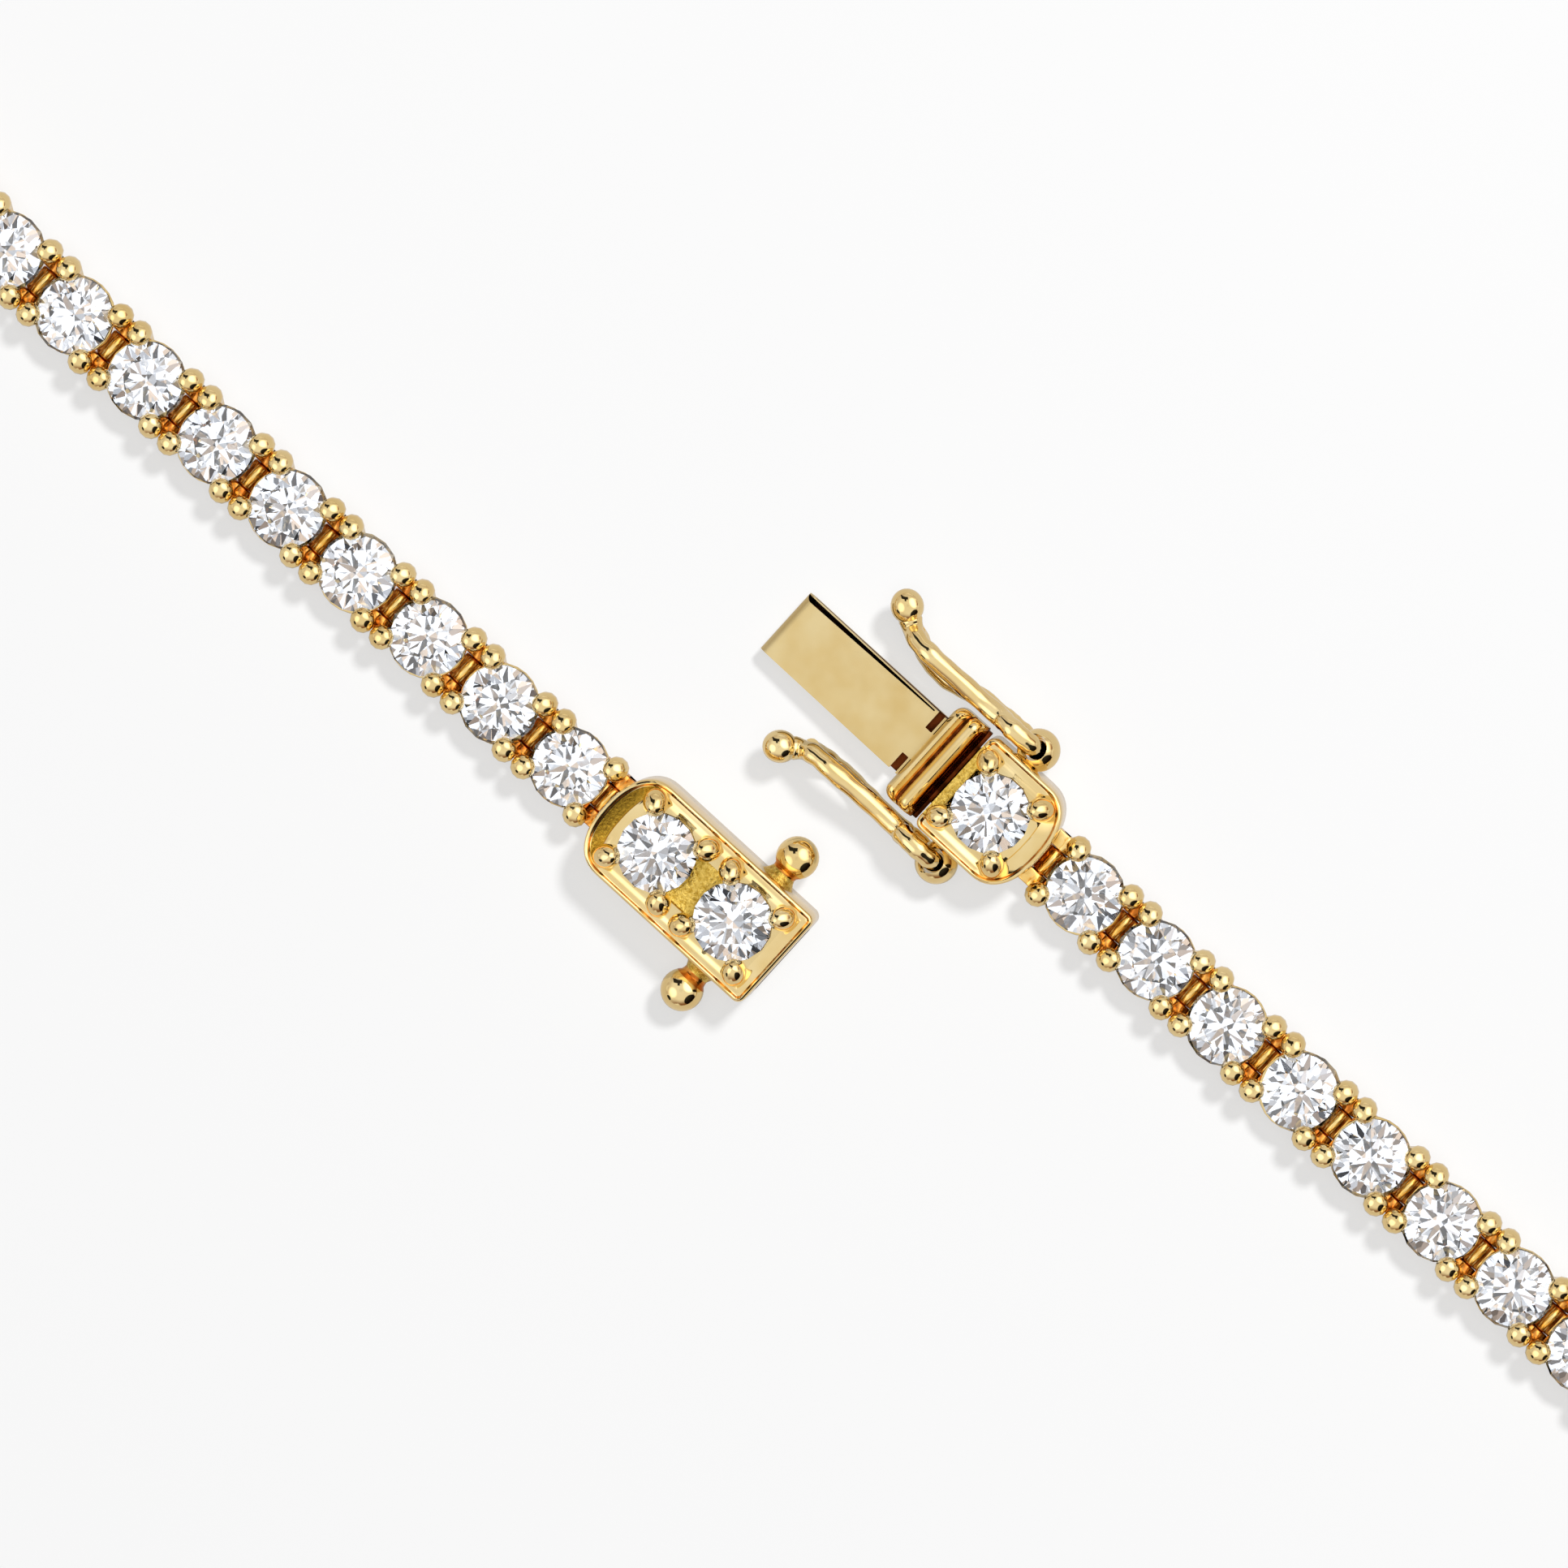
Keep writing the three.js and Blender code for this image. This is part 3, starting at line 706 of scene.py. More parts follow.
def chain_tree():
    """Sets one pattern on every edge of a path, turned along it, and another on the first"""
    tree = bpy.data.node_groups.new("chain_along_path", "GeometryNodeTree")
    for name, kind in (("Geometry", "Geometry"), *CHAIN_INPUTS):
        tree.interface.new_socket(name=name, in_out="INPUT", socket_type=f"NodeSocket{kind}")
    tree.interface.new_socket(name="Geometry", in_out="OUTPUT", socket_type="NodeSocketGeometry")

    def add(kind, settings=None, inputs=None):
        made = tree.nodes.new(kind)
        for name, value in (settings or {}).items():
            setattr(made, name, value)
        for name, value in (inputs or {}).items():
            if isinstance(value, bpy.types.NodeSocket):
                tree.links.new(value, made.inputs[name])
            else:
                made.inputs[name].default_value = value
        return made

    given = add("NodeGroupInput").outputs
    ends = add("GeometryNodeInputMeshEdgeVertices").outputs
    span = {0: ends["Position 2"], 1: ends["Position 1"]}
    along = add("ShaderNodeVectorMath", {"operation": "SUBTRACT"}, span)
    capture = add("GeometryNodeCaptureAttribute", {"domain": "EDGE"})
    capture.capture_items.new("VECTOR", "Along")
    tree.links.new(given["Geometry"], capture.inputs["Geometry"])
    tree.links.new(along.outputs[0], capture.inputs["Along"])
    points = add("GeometryNodeMeshToPoints", {"mode": "EDGES"}, {"Mesh": capture.outputs["Geometry"]})
    inputs = {"Vector": capture.outputs["Along"]}
    heading = add("FunctionNodeAlignRotationToVector", {"axis": "X", "pivot_axis": "Z"}, inputs)

    def equal(value, wanted):
        settings = {"data_type": "INT", "operation": "EQUAL"}
        return add("FunctionNodeCompare", settings, {2: value, 3: wanted}).outputs[0]

    first = equal(add("GeometryNodeInputIndex").outputs[0], 0)
    rest = add("FunctionNodeBooleanMath", {"operation": "NOT"}, {0: first}).outputs[0]
    groups = []
    for pattern, selection in (("Pattern", rest), ("First Pattern", first)):
        model = add("GeometryNodeObjectInfo", {"transform_space": "ORIGINAL"}, {"Object": given[pattern]})
        inputs = {"Points": points.outputs[0], "Selection": selection}
        inputs |= {"Instance": model.outputs["Geometry"], "Rotation": heading.outputs[0]}
        groups.append(add("GeometryNodeInstanceOnPoints", inputs=inputs).outputs[0])
    both = add("GeometryNodeJoinGeometry")
    for group in groups:
        tree.links.new(group, both.inputs[0])
    scatter = []
    for offset, span in ((0.0, "Random Tilt"), (1.0, "Random Tilt"), (2.0, "Random Turn")):
        low = add("ShaderNodeMath", {"operation": "MULTIPLY"}, {0: given[span], 1: -1.0}).outputs[0]
        seed = add("ShaderNodeMath", {"operation": "ADD"}, {0: given["Seed"], 1: offset}).outputs[0]
        draw = add("FunctionNodeRandomValue", {"data_type": "FLOAT"}, {2: low, 3: given[span], 8: seed})
        scatter.append(draw.outputs[1])
    wobble = add("ShaderNodeCombineXYZ", inputs={0: scatter[0], 1: scatter[1], 2: scatter[2]})
    inputs = {"Instances": both.outputs[0], "Rotation": wobble.outputs[0], "Local Space": True}
    turned_round = add("GeometryNodeRotateInstances", inputs=inputs)
    real = add("GeometryNodeRealizeInstances", inputs={"Geometry": turned_round.outputs[0]})
    inputs = {"Geometry": real.outputs[0], "Material": given["Finish"]}
    finished = add("GeometryNodeSetMaterial", inputs=inputs)
    part = add("GeometryNodeInputNamedAttribute", {"data_type": "INT"}, {"Name": "joint"})
    for mark, finish in ((JOINT, "Joint Finish"), (TAB, "Tab Finish")):
        chosen = equal(part.outputs[0], mark)
        inputs = {"Geometry": finished.outputs[0], "Selection": chosen, "Material": given[finish]}
        finished = add("GeometryNodeSetMaterial", inputs=inputs)
    add("NodeGroupOutput", inputs={0: finished.outputs[0]})
    return tree


def path_object(name, first_link):
    """Line through a strand's hinges"""
    mesh = bpy.data.meshes.new(name)
    hinges = [loop_point((first_link + i) * LINK_PITCH) for i in range(LINKS_PER_STRAND + 1)]
    points = [ORIGIN + hinge * MM for hinge in hinges]
    mesh.from_pydata(points, [(i, i + 1) for i in range(LINKS_PER_STRAND)], [])
    return linked(name, mesh)


def strung(name, first_link, inputs):
    """Runs the chain tree on one strand's path and keeps the plain mesh"""
    tree = bpy.data.node_groups.get("chain_along_path") or chain_tree()
    made = path_object(name, first_link)
    strand = made.modifiers.new("chain", "NODES")
    strand.node_group = tree
    for item in tree.interface.items_tree:
        if item.item_type == "SOCKET" and item.in_out == "INPUT" and item.name in inputs:
            strand[item.identifier] = inputs[item.name]
    return applied(made)


# ---- Clasp halves ----

# Slots of finish on the clasp's halves, and on the tongue: the deep and warm slots, and the tongue's shade
# and groove slots, hold painted shade, and the grained slot holds grain darkened by painted shade
POLISHED, GRAINED, DEEP, WARM = range(4)
ROLLED, TONGUE_SHADE, GROOVED, BRIGHT = range(4)

# Easing of a clasp half's square corners, and depth and bluntness of its round end
CORNER = 0.32
ROUND_DEPTH = 1.5
BLUNTNESS = 0.86


def clasp_outline(flat, apex, half_width, row):
    """Ring of points: square with eased corners at the flat end, blunt and round at the apex"""
    inset, end_inset, z, end_z = row
    towards = math.copysign(1, apex - flat)
    half = half_width - inset
    corner = max(CORNER - inset, 0.05)
    depth = ROUND_DEPTH - end_inset
    round_x = apex - towards * ROUND_DEPTH
    flat_x = flat + towards * inset
    points = []
    for k in range(25):
        turn = -math.pi / 2 + math.pi * k / 24
        c, s = abs(math.cos(turn)) ** BLUNTNESS, abs(math.sin(turn)) ** BLUNTNESS
        x = round_x + towards * depth * c
        y = math.copysign(half * s, math.sin(turn))
        points.append(Vector((x, y, z + (end_z - z) * c)))
    for side in (1, -1):
        for k in range(6):
            turn = math.pi / 2 * k / 5
            if side < 0:
                turn = math.pi / 2 - turn
            x = flat_x + towards * corner * (1 - math.sin(turn))
            y = side * (half - corner + corner * math.cos(turn))
            points.append(Vector((x, y, z)))
    return points


# From the foot up over the crest of the rim and in to the stones:
# inset at the sides, inset at the round end, height at the sides, height at the round end
SHELL_ROWS = (
    (0.16, 0.16, 0.0, 0.0),
    (0.05, 0.05, 0.05, 0.05),
    (0.0, 0.0, 0.16, 0.16),
    (0.0, 0.0, 1.4, 1.4),
    (0.0, 0.0, 2.72, 2.72),
    (0.02, 0.02, 2.82, 2.82),
    (0.06, 0.06, 2.88, 2.88),
    (0.11, 0.12, 2.90, 2.90),
    (0.15, 0.17, 2.88, 2.88),
    (0.205, 0.235, 2.81, 2.81),
    (0.23, 0.27, 2.80, 2.795),
    (0.34, 0.46, 2.80, 2.69),
    (0.48, 0.76, 2.77, 2.60),
    (0.52, 0.80, 2.74, 2.66),
    (0.70, 1.05, 2.72, 2.74),
)
# Rows of the skin that take a finish of their own, and where along the round end the hollows lie; the
# shaded row takes the deep gold, a painted dark line inside the rim's crest
LENS_ROWS = (10, 11)
LENS_SPAN = range(2, 22)
SHADED_ROW = 8


def shell(bm, flat, apex, half_width, lens):
    """Skirt, rim and plate of one half of the clasp; the hollow beside its stones takes the lens finish,
    and the shaded row inside the rim's crest takes painted shade
    """
    rings = [clasp_outline(flat, apex, half_width, row) for row in SHELL_ROWS]
    faces = skin(bm, rings)
    sides = len(rings[0])
    for row in LENS_ROWS:
        for k in LENS_SPAN:
            faces[row * sides + k].material_index = lens
    for k in range(sides):
        faces[SHADED_ROW * sides + k].material_index = DEEP


def seat_cone(bm, x, sizes):
    """Conical seat that a clasp stone sits in, with a little room round it"""
    room = sizes.stone_diameter / MM / 2 + 0.05
    ledge, mouth = RIM_Z - 0.04, RIM_Z + 0.3
    profile = [(0, 1.5), (0.05, 1.53), (room, ledge), (room, mouth), (0, mouth)]
    turned(bm, profile, 32, Matrix.Translation((x, 0, 0)))


# A clasp prong from its foot to its tip: how far out from its own middle it sits, height, and
# radii along and across the way out from the stone
CLASP_PRONG_COURSE = (
    (0.10, 2.2, 0.44, 0.40),
    (0.08, 2.76, 0.54, 0.47),
    (0.06, 2.94, 0.53, 0.465),
    (0.04, 3.08, 0.495, 0.44),
    (0.01, 3.21, 0.43, 0.39),
    (-0.02, 3.32, 0.345, 0.315),
    (-0.05, 3.41, 0.24, 0.22),
    (-0.07, 3.465, 0.135, 0.125),
    (-0.08, 3.49, 0.055, 0.05),
    (-0.085, 3.5, 0.01, 0.01),
)
CLASP_PRONG_X, CLASP_PRONG_Y = 1.25, 1.30


def clasp_prongs(bm, x, sizes):
    """Four prongs with ball tips about the stone at x"""
    swell = sizes.prong_ball / MM
    for sx in (-1, 1):
        for sy in (-1, 1):
            middle = Vector((x + sx * CLASP_PRONG_X, sy * CLASP_PRONG_Y, 0))
            out = Vector((sx * 0.69, sy * 0.72, 0)).normalized()
            beside = Vector((-out.y, out.x, 0))
            rings = []
            for shift, z, long, wide in CLASP_PRONG_COURSE:
                centre = middle + shift * out + Vector((0, 0, z))
                ring = []
                for turn in around(20):
                    reach = long * math.cos(turn) * out + wide * math.sin(turn) * beside
                    ring.append(centre + swell * reach)
                rings.append(ring)
            skin(bm, rings)


# Stem of a side peg from the flank to its waist: radius, distance from the clasp's axis
PEG_STEM = ((0, 1.75), (0.78, 1.8), (0.76, 2.12), (0.66, 2.22), (0.56, 2.36), (0.50, 2.50), (0.52, 2.62))
PEG_BALL = 0.81
PEG_Z = 1.45
# Beyond the waist a peg is polished; nearer to the clasp's axis it takes the deep gold, and its foot the
# darker grained gold: painted shade, deepest at the foot
PEG_WAIST, PEG_FOOT = BOX_HALF_WIDTH + 0.62, BOX_HALF_WIDTH + 0.37
# Where each peg stands along the box, and how far out its ball is
PEG_PLACES = {-1: (2.27, 3.3), 1: (2.15, 3.24)}


def side_peg(bm, side):
    """Waisted stem with a ball end, painted darker towards its foot: painted shade"""
    x, reach = PEG_PLACES[side]
    profile = list(PEG_STEM)
    for k in range(12):
        turn = math.radians(138 * (1 - k / 12))
        profile.append((PEG_BALL * math.sin(turn), reach + PEG_BALL * math.cos(turn)))
    profile.append((0, reach + PEG_BALL))
    place = Matrix.Translation((x, 0, PEG_Z)) @ Matrix.Rotation(-side * math.pi / 2, 4, "X")
    first = len(bm.faces)
    turned(bm, profile, 28, place)
    bm.faces.ensure_lookup_table()
    for face in bm.faces[first:]:
        out = abs(face.calc_center_median().y)
        if out < PEG_WAIST:
            face.material_index = GRAINED if out < PEG_FOOT else DEEP


def move_all(bm, x, y):
    bm.transform(Matrix.Translation((x, y, 0)))


def join_into(target, extra):
    """Adds another object's mesh to a finished one"""
    bm = bmesh.new()
    bm.from_mesh(target.data)
    bm.from_mesh(extra.data)
    bm.to_mesh(target.data)
    bm.free()
    discard(extra)


# ---- Safety catches ----

UPPER_WIRE = (
    (7.16, 0.42, 0.69),
    (6.5, 0.3, 0.24),
    (6.0, 0.72, 0.03),
    (5.25, 0.98, -0.02),
    (4.3, 0.85, -0.03),
    (3.0, 0.5, -0.04),
)
LOWER_WIRE = (
    (3.0, -0.5, -0.06),
    (3.8, -0.78, -0.26),
    (4.6, -0.98, -0.36),
    (5.3, -0.86, -0.26),
    (5.9, -0.35, -0.02),
    (6.3, 0.25, 0.14),
)
# How much of the lower strand's sideways lean each catch has kept
LOWER_LEAN = {1: 1.15, -1: 0.1}
# How thick the wire is along its tail, before the ball
TAIL_SWELL = (0.92, 0.95, 0.98, 1.12, 1.16, 1.08)


def ring_course(from_turn, to_turn, step):
    """Places round a catch's ring, in degrees from where it passes through its lug"""
    course = []
    count = round(abs(to_turn - from_turn) / step)
    for i in range(count + 1):
        turn = math.radians(from_turn + (to_turn - from_turn) * i / count)
        course.append((RING_RADIUS * (1 - math.cos(turn)), RING_RADIUS * math.sin(turn), 0.0))
    return course


def blended(first, second, low, high, at):
    return first * ((high - at) / (high - low)) + second * ((at - low) / (high - low))


def catmull_rom(points, steps):
    """Centripetal spline through points, that many steps to each span"""
    ends = [points[0] * 2 - points[1]] + points + [points[-1] * 2 - points[-2]]
    curve = []
    for i in range(len(points) - 1):
        p0, p1, p2, p3 = ends[i : i + 4]
        t0 = 0.0
        t1 = t0 + math.sqrt((p1 - p0).length)
        t2 = t1 + math.sqrt((p2 - p1).length)
        t3 = t2 + math.sqrt((p3 - p2).length)
        for k in range(steps):
            t = t1 + (t2 - t1) * k / steps
            a1 = blended(p0, p1, t0, t1, t)
            a2 = blended(p1, p2, t1, t2, t)
            a3 = blended(p2, p3, t2, t3, t)
            b1 = blended(a1, a2, t0, t2, t)
            b2 = blended(a2, a3, t1, t3, t)
            curve.append(blended(b1, b2, t1, t2, t))
    curve.append(points[-1])
    return curve


def catch_points(course, side, steps):
    """Smooth course of [ahead of the lug, above it, out from it] places, beside the head"""
    points = []
    for ahead, above, out in course:
        points.append(Vector((LUG_X - ahead, HEAD_AXIS_Y + side * (LUG_OUT + out), LUG_Z + above)))
    return catmull_rom(points, steps)


# ---- Properties ----


def number(name, description, default, **kind):
    return bpy.props.FloatProperty(name=name, description=description, default=default, **kind)


def tone(name, description, colour):
    return bpy.props.FloatVectorProperty(
        name=name, description=description, default=colour, subtype="COLOR", size=3, min=0.0, max=1.0
    )


class NecklaceChain(bpy.types.PropertyGroup):
    stone_diameter: number("Stone", "Width of a chain stone", 0.00301, unit="LENGTH")
    prong_ball: number("Prong tip", "Width of a prong's tip", 0.00095, unit="LENGTH")
    prong_along: number("Prong along", "Middle to prong, along the chain", 0.00131, unit="LENGTH")
    prong_across: number("Prong across", "Middle to prong, across the chain", 0.00113, unit="LENGTH")


class NecklaceClasp(bpy.types.PropertyGroup):
    stone_diameter: number("Stone", "Width of a clasp stone", 0.00298, unit="LENGTH")
    prong_ball: number("Prong ball", "Width of a clasp prong's ball tip", 0.001, unit="LENGTH")
    catch_wire: number("Catch wire", "Thickness of a safety catch's wire", 0.00077, unit="LENGTH")


class NecklaceFinish(bpy.types.PropertyGroup):
    gold_pale: tone("Pale gold", "Lighter tone of the gold", (0.94, 0.75, 0.39))
    gold_deep: tone("Deep gold", "Deeper tone of the gold", (0.85, 0.62, 0.26))
    gold_recess: tone("Recess gold", "Grained floor of the recesses", (0.46, 0.27, 0.03))
    gold_recess_bright: tone("Bright recess gold", "Grain that catches light", (0.80, 0.56, 0.13))
    gold_joint: tone("Joint gold", "Gold between the links", (0.52, 0.15, 0.02))
    gold_joint_bright: tone("Bright joint gold", "Where it catches light", (0.82, 0.38, 0.08))
    gold_tab: tone("Tab gold", "Tabs that join the links", (0.88, 0.50, 0.11))
    gold_tab_bright: tone("Bright tab gold", "Where they catch light", (1.0, 0.74, 0.30))
    gold_groove: tone("Groove gold", "Bottom of the narrow grooves", (0.15, 0.035, 0.008))
    polish: number("Polish", "Roughness of polished gold", 0.06, min=0.0, max=1.0)
    stone_tint: tone("Stone tint", "Colour of the clear stones", (1.0, 1.0, 1.0))
    stone_ior: number("Stone index", "Refractive index of the stones", 2.4, min=1.0, max=3.0)


class NecklaceStudio(bpy.types.PropertyGroup):
    floor_shade: number("Floor", "How pale the floor is", 0.28, min=0.0, max=1.0)
    floor_glow: number("Floor glow", "Light that comes up through the floor", 0.62, min=0.0)
    floor_dimming: number("Floor dimming", "How much darker gold mirrors the floor", 0.35, min=0.0, max=1.0)
    dome: number("Dome", "Strength of the soft light from overhead", 1.0, min=0.0)
    mirrored: number("Mirrored studio", "Strength of what polished gold mirrors", 1.0, min=0.0)
    sparkle: number("Sparkle", "Strength of the light seen through the stones", 1.55, min=0.0)
    key: number("Key light", "Power of the key light in watts", 3.7, min=0.0)
    tilt: number("Camera tilt", "How far the camera leans from straight above", 0.106, unit="ROTATION")


# ---- Operators ----


class NECKLACE_OT_chain(bpy.types.Operator):
    """Strings the settings and stones of both strands along the loop"""

    bl_idname = "necklace.chain"
    bl_label = "Chain"

    def execute(self, context):
        chain = context.scene.necklace_chain
        link, first_link, gem = bmesh.new(), bmesh.new(), bmesh.new()
        for bm, back in ((link, hinge_fork), (first_link, lambda bm, marks: hinge_eye(bm, marks, -1))):
            four_prong_setting(bm, chain)
            marks = bm.faces.layers.int.new("joint")
            hinge_eye(bm, marks)
            back(bm, marks)
        radius = chain.stone_diameter / MM / 2
        brilliant(gem, radius, CHAIN_CUT, LINK_GIRDLE_Z)
        link = pattern_object(link, "link_pattern")
        first_link = pattern_object(first_link, "first_link_pattern")
        gem = pattern_object(gem, "stone_pattern", smooth=False)
        plans = (("left", 0, first_link), ("right", LINKS_PER_STRAND, link))
        for side, start, opening in plans:
            node = f"strand_{side}"
            settings = strung(
                f"links_{side}",
                start,
                {
                    "Pattern": link,
                    "First Pattern": opening,
                    "Finish": polished_gold(),
                    # The joints take darker, redder gold and the tabs orange gold: painted shade between
                    # the links
                    "Joint Finish": deep_gold(),
                    "Tab Finish": tab_gold(),
                },
            )
            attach(settings, "necklace")
            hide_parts(node)
            stones = strung(
                f"stones_{side}",
                start,
                {
                    "Pattern": gem,
                    "First Pattern": gem,
                    "Finish": brilliant_stone(),
                    "Joint Finish": brilliant_stone(),
                    "Tab Finish": brilliant_stone(),
                    "Random Turn": STONE_TURN,
                    "Random Tilt": STONE_TILT,
                    "Seed": STONE_SEED + start,
                },
            )
            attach(stones, "necklace")
            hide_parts(node)
        for pattern in (link, first_link, gem):
            discard(pattern)
        return {"FINISHED"}


def clasp_fork(bm, hinge, inward, finish=DEEP):
    """Ears and pin that carry the first link's eye"""
    first = len(bm.faces)
    cross_pin(bm, PIN_RADIUS, -PIN_HALF, PIN_HALF, HINGE_Z, hinge, 12)
    for side in (-1, 1):
        y0, y1 = sorted((side * EAR_NEAR, side * EAR_FAR))
        cross_pin(bm, EAR_RADIUS, y0, y1, HINGE_Z, hinge, 20)
        x0, x1 = sorted((hinge, hinge + inward * 0.72))
        block(bm, x0, x1, y0, y1, 0.44, 1.19, 0.05)
    # The fork takes the given finish, which paints shade: the deep gold on the box, the tab gold on the
    # head
    bm.faces.ensure_lookup_table()
    for face in bm.faces[first:]:
        face.material_index = finish


def clasp_block(name, axis_y, *sizes, finish=POLISHED, bevel=0.0):
    """A block laid out about a clasp half's own axis, to be cut away"""
    bm = bmesh.new()
    block(bm, *sizes, bevel)
    for face in bm.faces:
        face.material_index = finish
    move_all(bm, 0, axis_y)
    return to_object(bm, name, (polished_gold(), grained_gold()), smooth=False)


def seat_cutter(x, axis_y, sizes):
    bm = bmesh.new()
    seat_cone(bm, x, sizes)
    move_all(bm, 0, axis_y)
    return to_object(bm, "seat", (polished_gold(),), smooth=False)


class NECKLACE_OT_box(bpy.types.Operator):
    """Makes the box half of the clasp with its pegs and prongs"""

    bl_idname = "necklace.box"
    bl_label = "Box"

    def execute(self, context):
        sizes = context.scene.necklace_clasp
        y = BOX_AXIS_Y
        body = bmesh.new()
        # The box's lens takes the grained gold, with its painted shade darkest at the round end
        shell(body, BOX_MOUTH, BOX_BACK, BOX_HALF_WIDTH, GRAINED)
        move_all(body, 0, y)
        made = to_object(body, "box", (polished_gold(), grained_gold(), deep_gold()))
        back, front = BOX_STONES
        recess = (back + 0.9, front - 0.9, -1.02, 1.02, 2.42, 3.4)
        cutters = [
            clasp_block("hollow", y, -2.75, 3.85, -1.5, 1.5, 0.4, 1.48),
            clasp_block("mouth", y, 3.7, BOX_MOUTH + 1, -1.5, 1.5, 0.4, 1.35),
            clasp_block("undercut", y, BOX_BACK - 1, -3.95, -1.25, 1.25, -1, 1.35),
            # The recess between the stones takes the grained gold and its painted shade
            clasp_block("recess", y, *recess, finish=GRAINED, bevel=0.12),
        ]
        cutters += [seat_cutter(x, y, sizes) for x in BOX_STONES]
        carve(made, cutters)
        fittings = bmesh.new()
        for x in BOX_STONES:
            clasp_prongs(fittings, x, sizes)
        for side in (-1, 1):
            side_peg(fittings, side)
        clasp_fork(fittings, BOX_HINGE, 1)
        move_all(fittings, 0, y)
        join_into(made, to_object(fittings, "box_fittings", sharp_angle=50))
        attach(made, "necklace")
        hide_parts("box_shell")
        return {"FINISHED"}


def pierced_lug(side):
    """Ball at the head's flank with a curved hole for its catch's ring"""
    lug = bmesh.new()
    bmesh.ops.create_uvsphere(lug, u_segments=40, v_segments=24, radius=LUG_BALL)
    lug.transform(Matrix.Translation((LUG_X, HEAD_AXIS_Y + side * LUG_OUT, LUG_Z)))
    bore = bmesh.new()
    points = catch_points(ring_course(-BORE_ENDS, BORE_ENDS, BORE_STEP), side, 5)
    tube(bore, points, [BORE_RADIUS] * len(points), 24)
    return carve(to_object(lug, "lug"), [to_object(bore, "bore", smooth=False)])


class NECKLACE_OT_head(bpy.types.Operator):
    """Makes the head of the clasp with its pierced lugs and prongs"""

    bl_idname = "necklace.head"
    bl_label = "Head"

    def execute(self, context):
        sizes = context.scene.necklace_clasp
        y = HEAD_AXIS_Y
        body = bmesh.new()
        shell(body, HEAD_FRONT, HEAD_BACK, HEAD_HALF_WIDTH, POLISHED)
        move_all(body, 0, y)
        made = to_object(body, "head", (polished_gold(), grained_gold(), deep_gold(), tab_gold()))
        open_front = (HEAD_FRONT - 1, HEAD_FRONT + 0.42, -1.7, 1.7, 2.66, 3.4)
        cutters = [
            clasp_block("socket", y, HEAD_FRONT - 1, 5.5, -1.45, 1.45, 0.38, 0.8),
            clasp_block("undercut", y, 8.45, HEAD_BACK + 1, -1.25, 1.25, -1, 1.35),
            # The open front takes the grained gold and its painted shade
            clasp_block("open_front", y, *open_front, finish=GRAINED, bevel=0.1),
            seat_cutter(HEAD_STONE_X, y, sizes),
        ]
        carve(made, cutters)
        fittings = bmesh.new()
        clasp_prongs(fittings, HEAD_STONE_X, sizes)
        # The head's fork takes the tab gold: painted shade and painted reflection
        clasp_fork(fittings, HEAD_HINGE, -1, finish=WARM)
        move_all(fittings, 0, y)
        join_into(made, to_object(fittings, "head_fittings", sharp_angle=50))
        for side in (-1, 1):
            join_into(made, pierced_lug(side))
        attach(made, "necklace")
        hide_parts("clasp_head")
        return {"FINISHED"}


class NECKLACE_OT_clasp_stones(bpy.types.Operator):
    """Cuts the two stones of the box and the one of the head"""

    bl_idname = "necklace.clasp_stones"
    bl_label = "Clasp stones"

    def execute(self, context):
        radius = context.scene.necklace_clasp.stone_diameter / MM / 2
        plans = (
            ("box_stone_back", BOX_STONES[0], BOX_AXIS_Y, 8),
            ("box_stone_front", BOX_STONES[1], BOX_AXIS_Y, 20),
            ("head_stone", HEAD_STONE_X, HEAD_AXIS_Y, 33),
        )
        for node, x, y, turn in plans:
            bm = bmesh.new()
            place = Matrix.Translation((x, y, 0)) @ Matrix.Rotation(math.radians(turn), 4, "Z")
            brilliant(bm, radius, CLASP_CUT, RIM_Z, place)
            made = to_object(bm, f"{node}_brilliant", (brilliant_stone(),), smooth=False)
            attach(made, "necklace")
            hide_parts(node)
        return {"FINISHED"}


def folded_leaf(bm):
    """Sheet folded over at its tip: the lower leaf runs into the head, the upper one to the bar"""
    tip, root, thick, low, high, fold, half = -4.12, 5.4, 0.28, 0.45, 1.6, 0.375, 1.38
    inner = fold - thick
    fold_x, fold_z = tip + fold, low + fold
    outline = [(root, low), (fold_x, low)]
    for k in range(1, 13):
        turn = -math.pi / 2 - math.pi * k / 12
        outline.append((fold_x + fold * math.cos(turn), fold_z + fold * math.sin(turn)))
    outline += [(fold_x + 0.2, fold_z + fold + 0.01), (2.25, high), (3.4, high), (3.4, high - thick)]
    inside = len(outline)
    for k in range(9):
        turn = math.pi / 2 + math.pi * k / 8
        outline.append((fold_x + inner * math.cos(turn), fold_z + inner * math.sin(turn)))
    outline.append((root, low + thick))
    rings = [[Vector((x, y, z)) for x, z in outline] for y in (-half, half)]
    faces = skin(bm, rings)
    # The inside of the fold and the lower leaf's upper face take the near-black groove gold: painted shade
    for face in faces[inside : inside + 9]:
        face.material_index = GROOVED


def leaf_edge(bm):
    """Wedge cut along one edge of the upper leaf, wide at the fold and gone at the shoulder"""
    edge = 1.34
    rings = []
    for x, z, width in ((-4.3, 1.17, 0.22), (2.25, 1.60, 0.06)):
        section = ((edge, z - 0.3), (edge, z + 0.3), (edge - width, z + 0.3), (edge - width, z - 0.02))
        rings.append([Vector((x, y, height)) for y, height in section])
    skin(bm, rings)


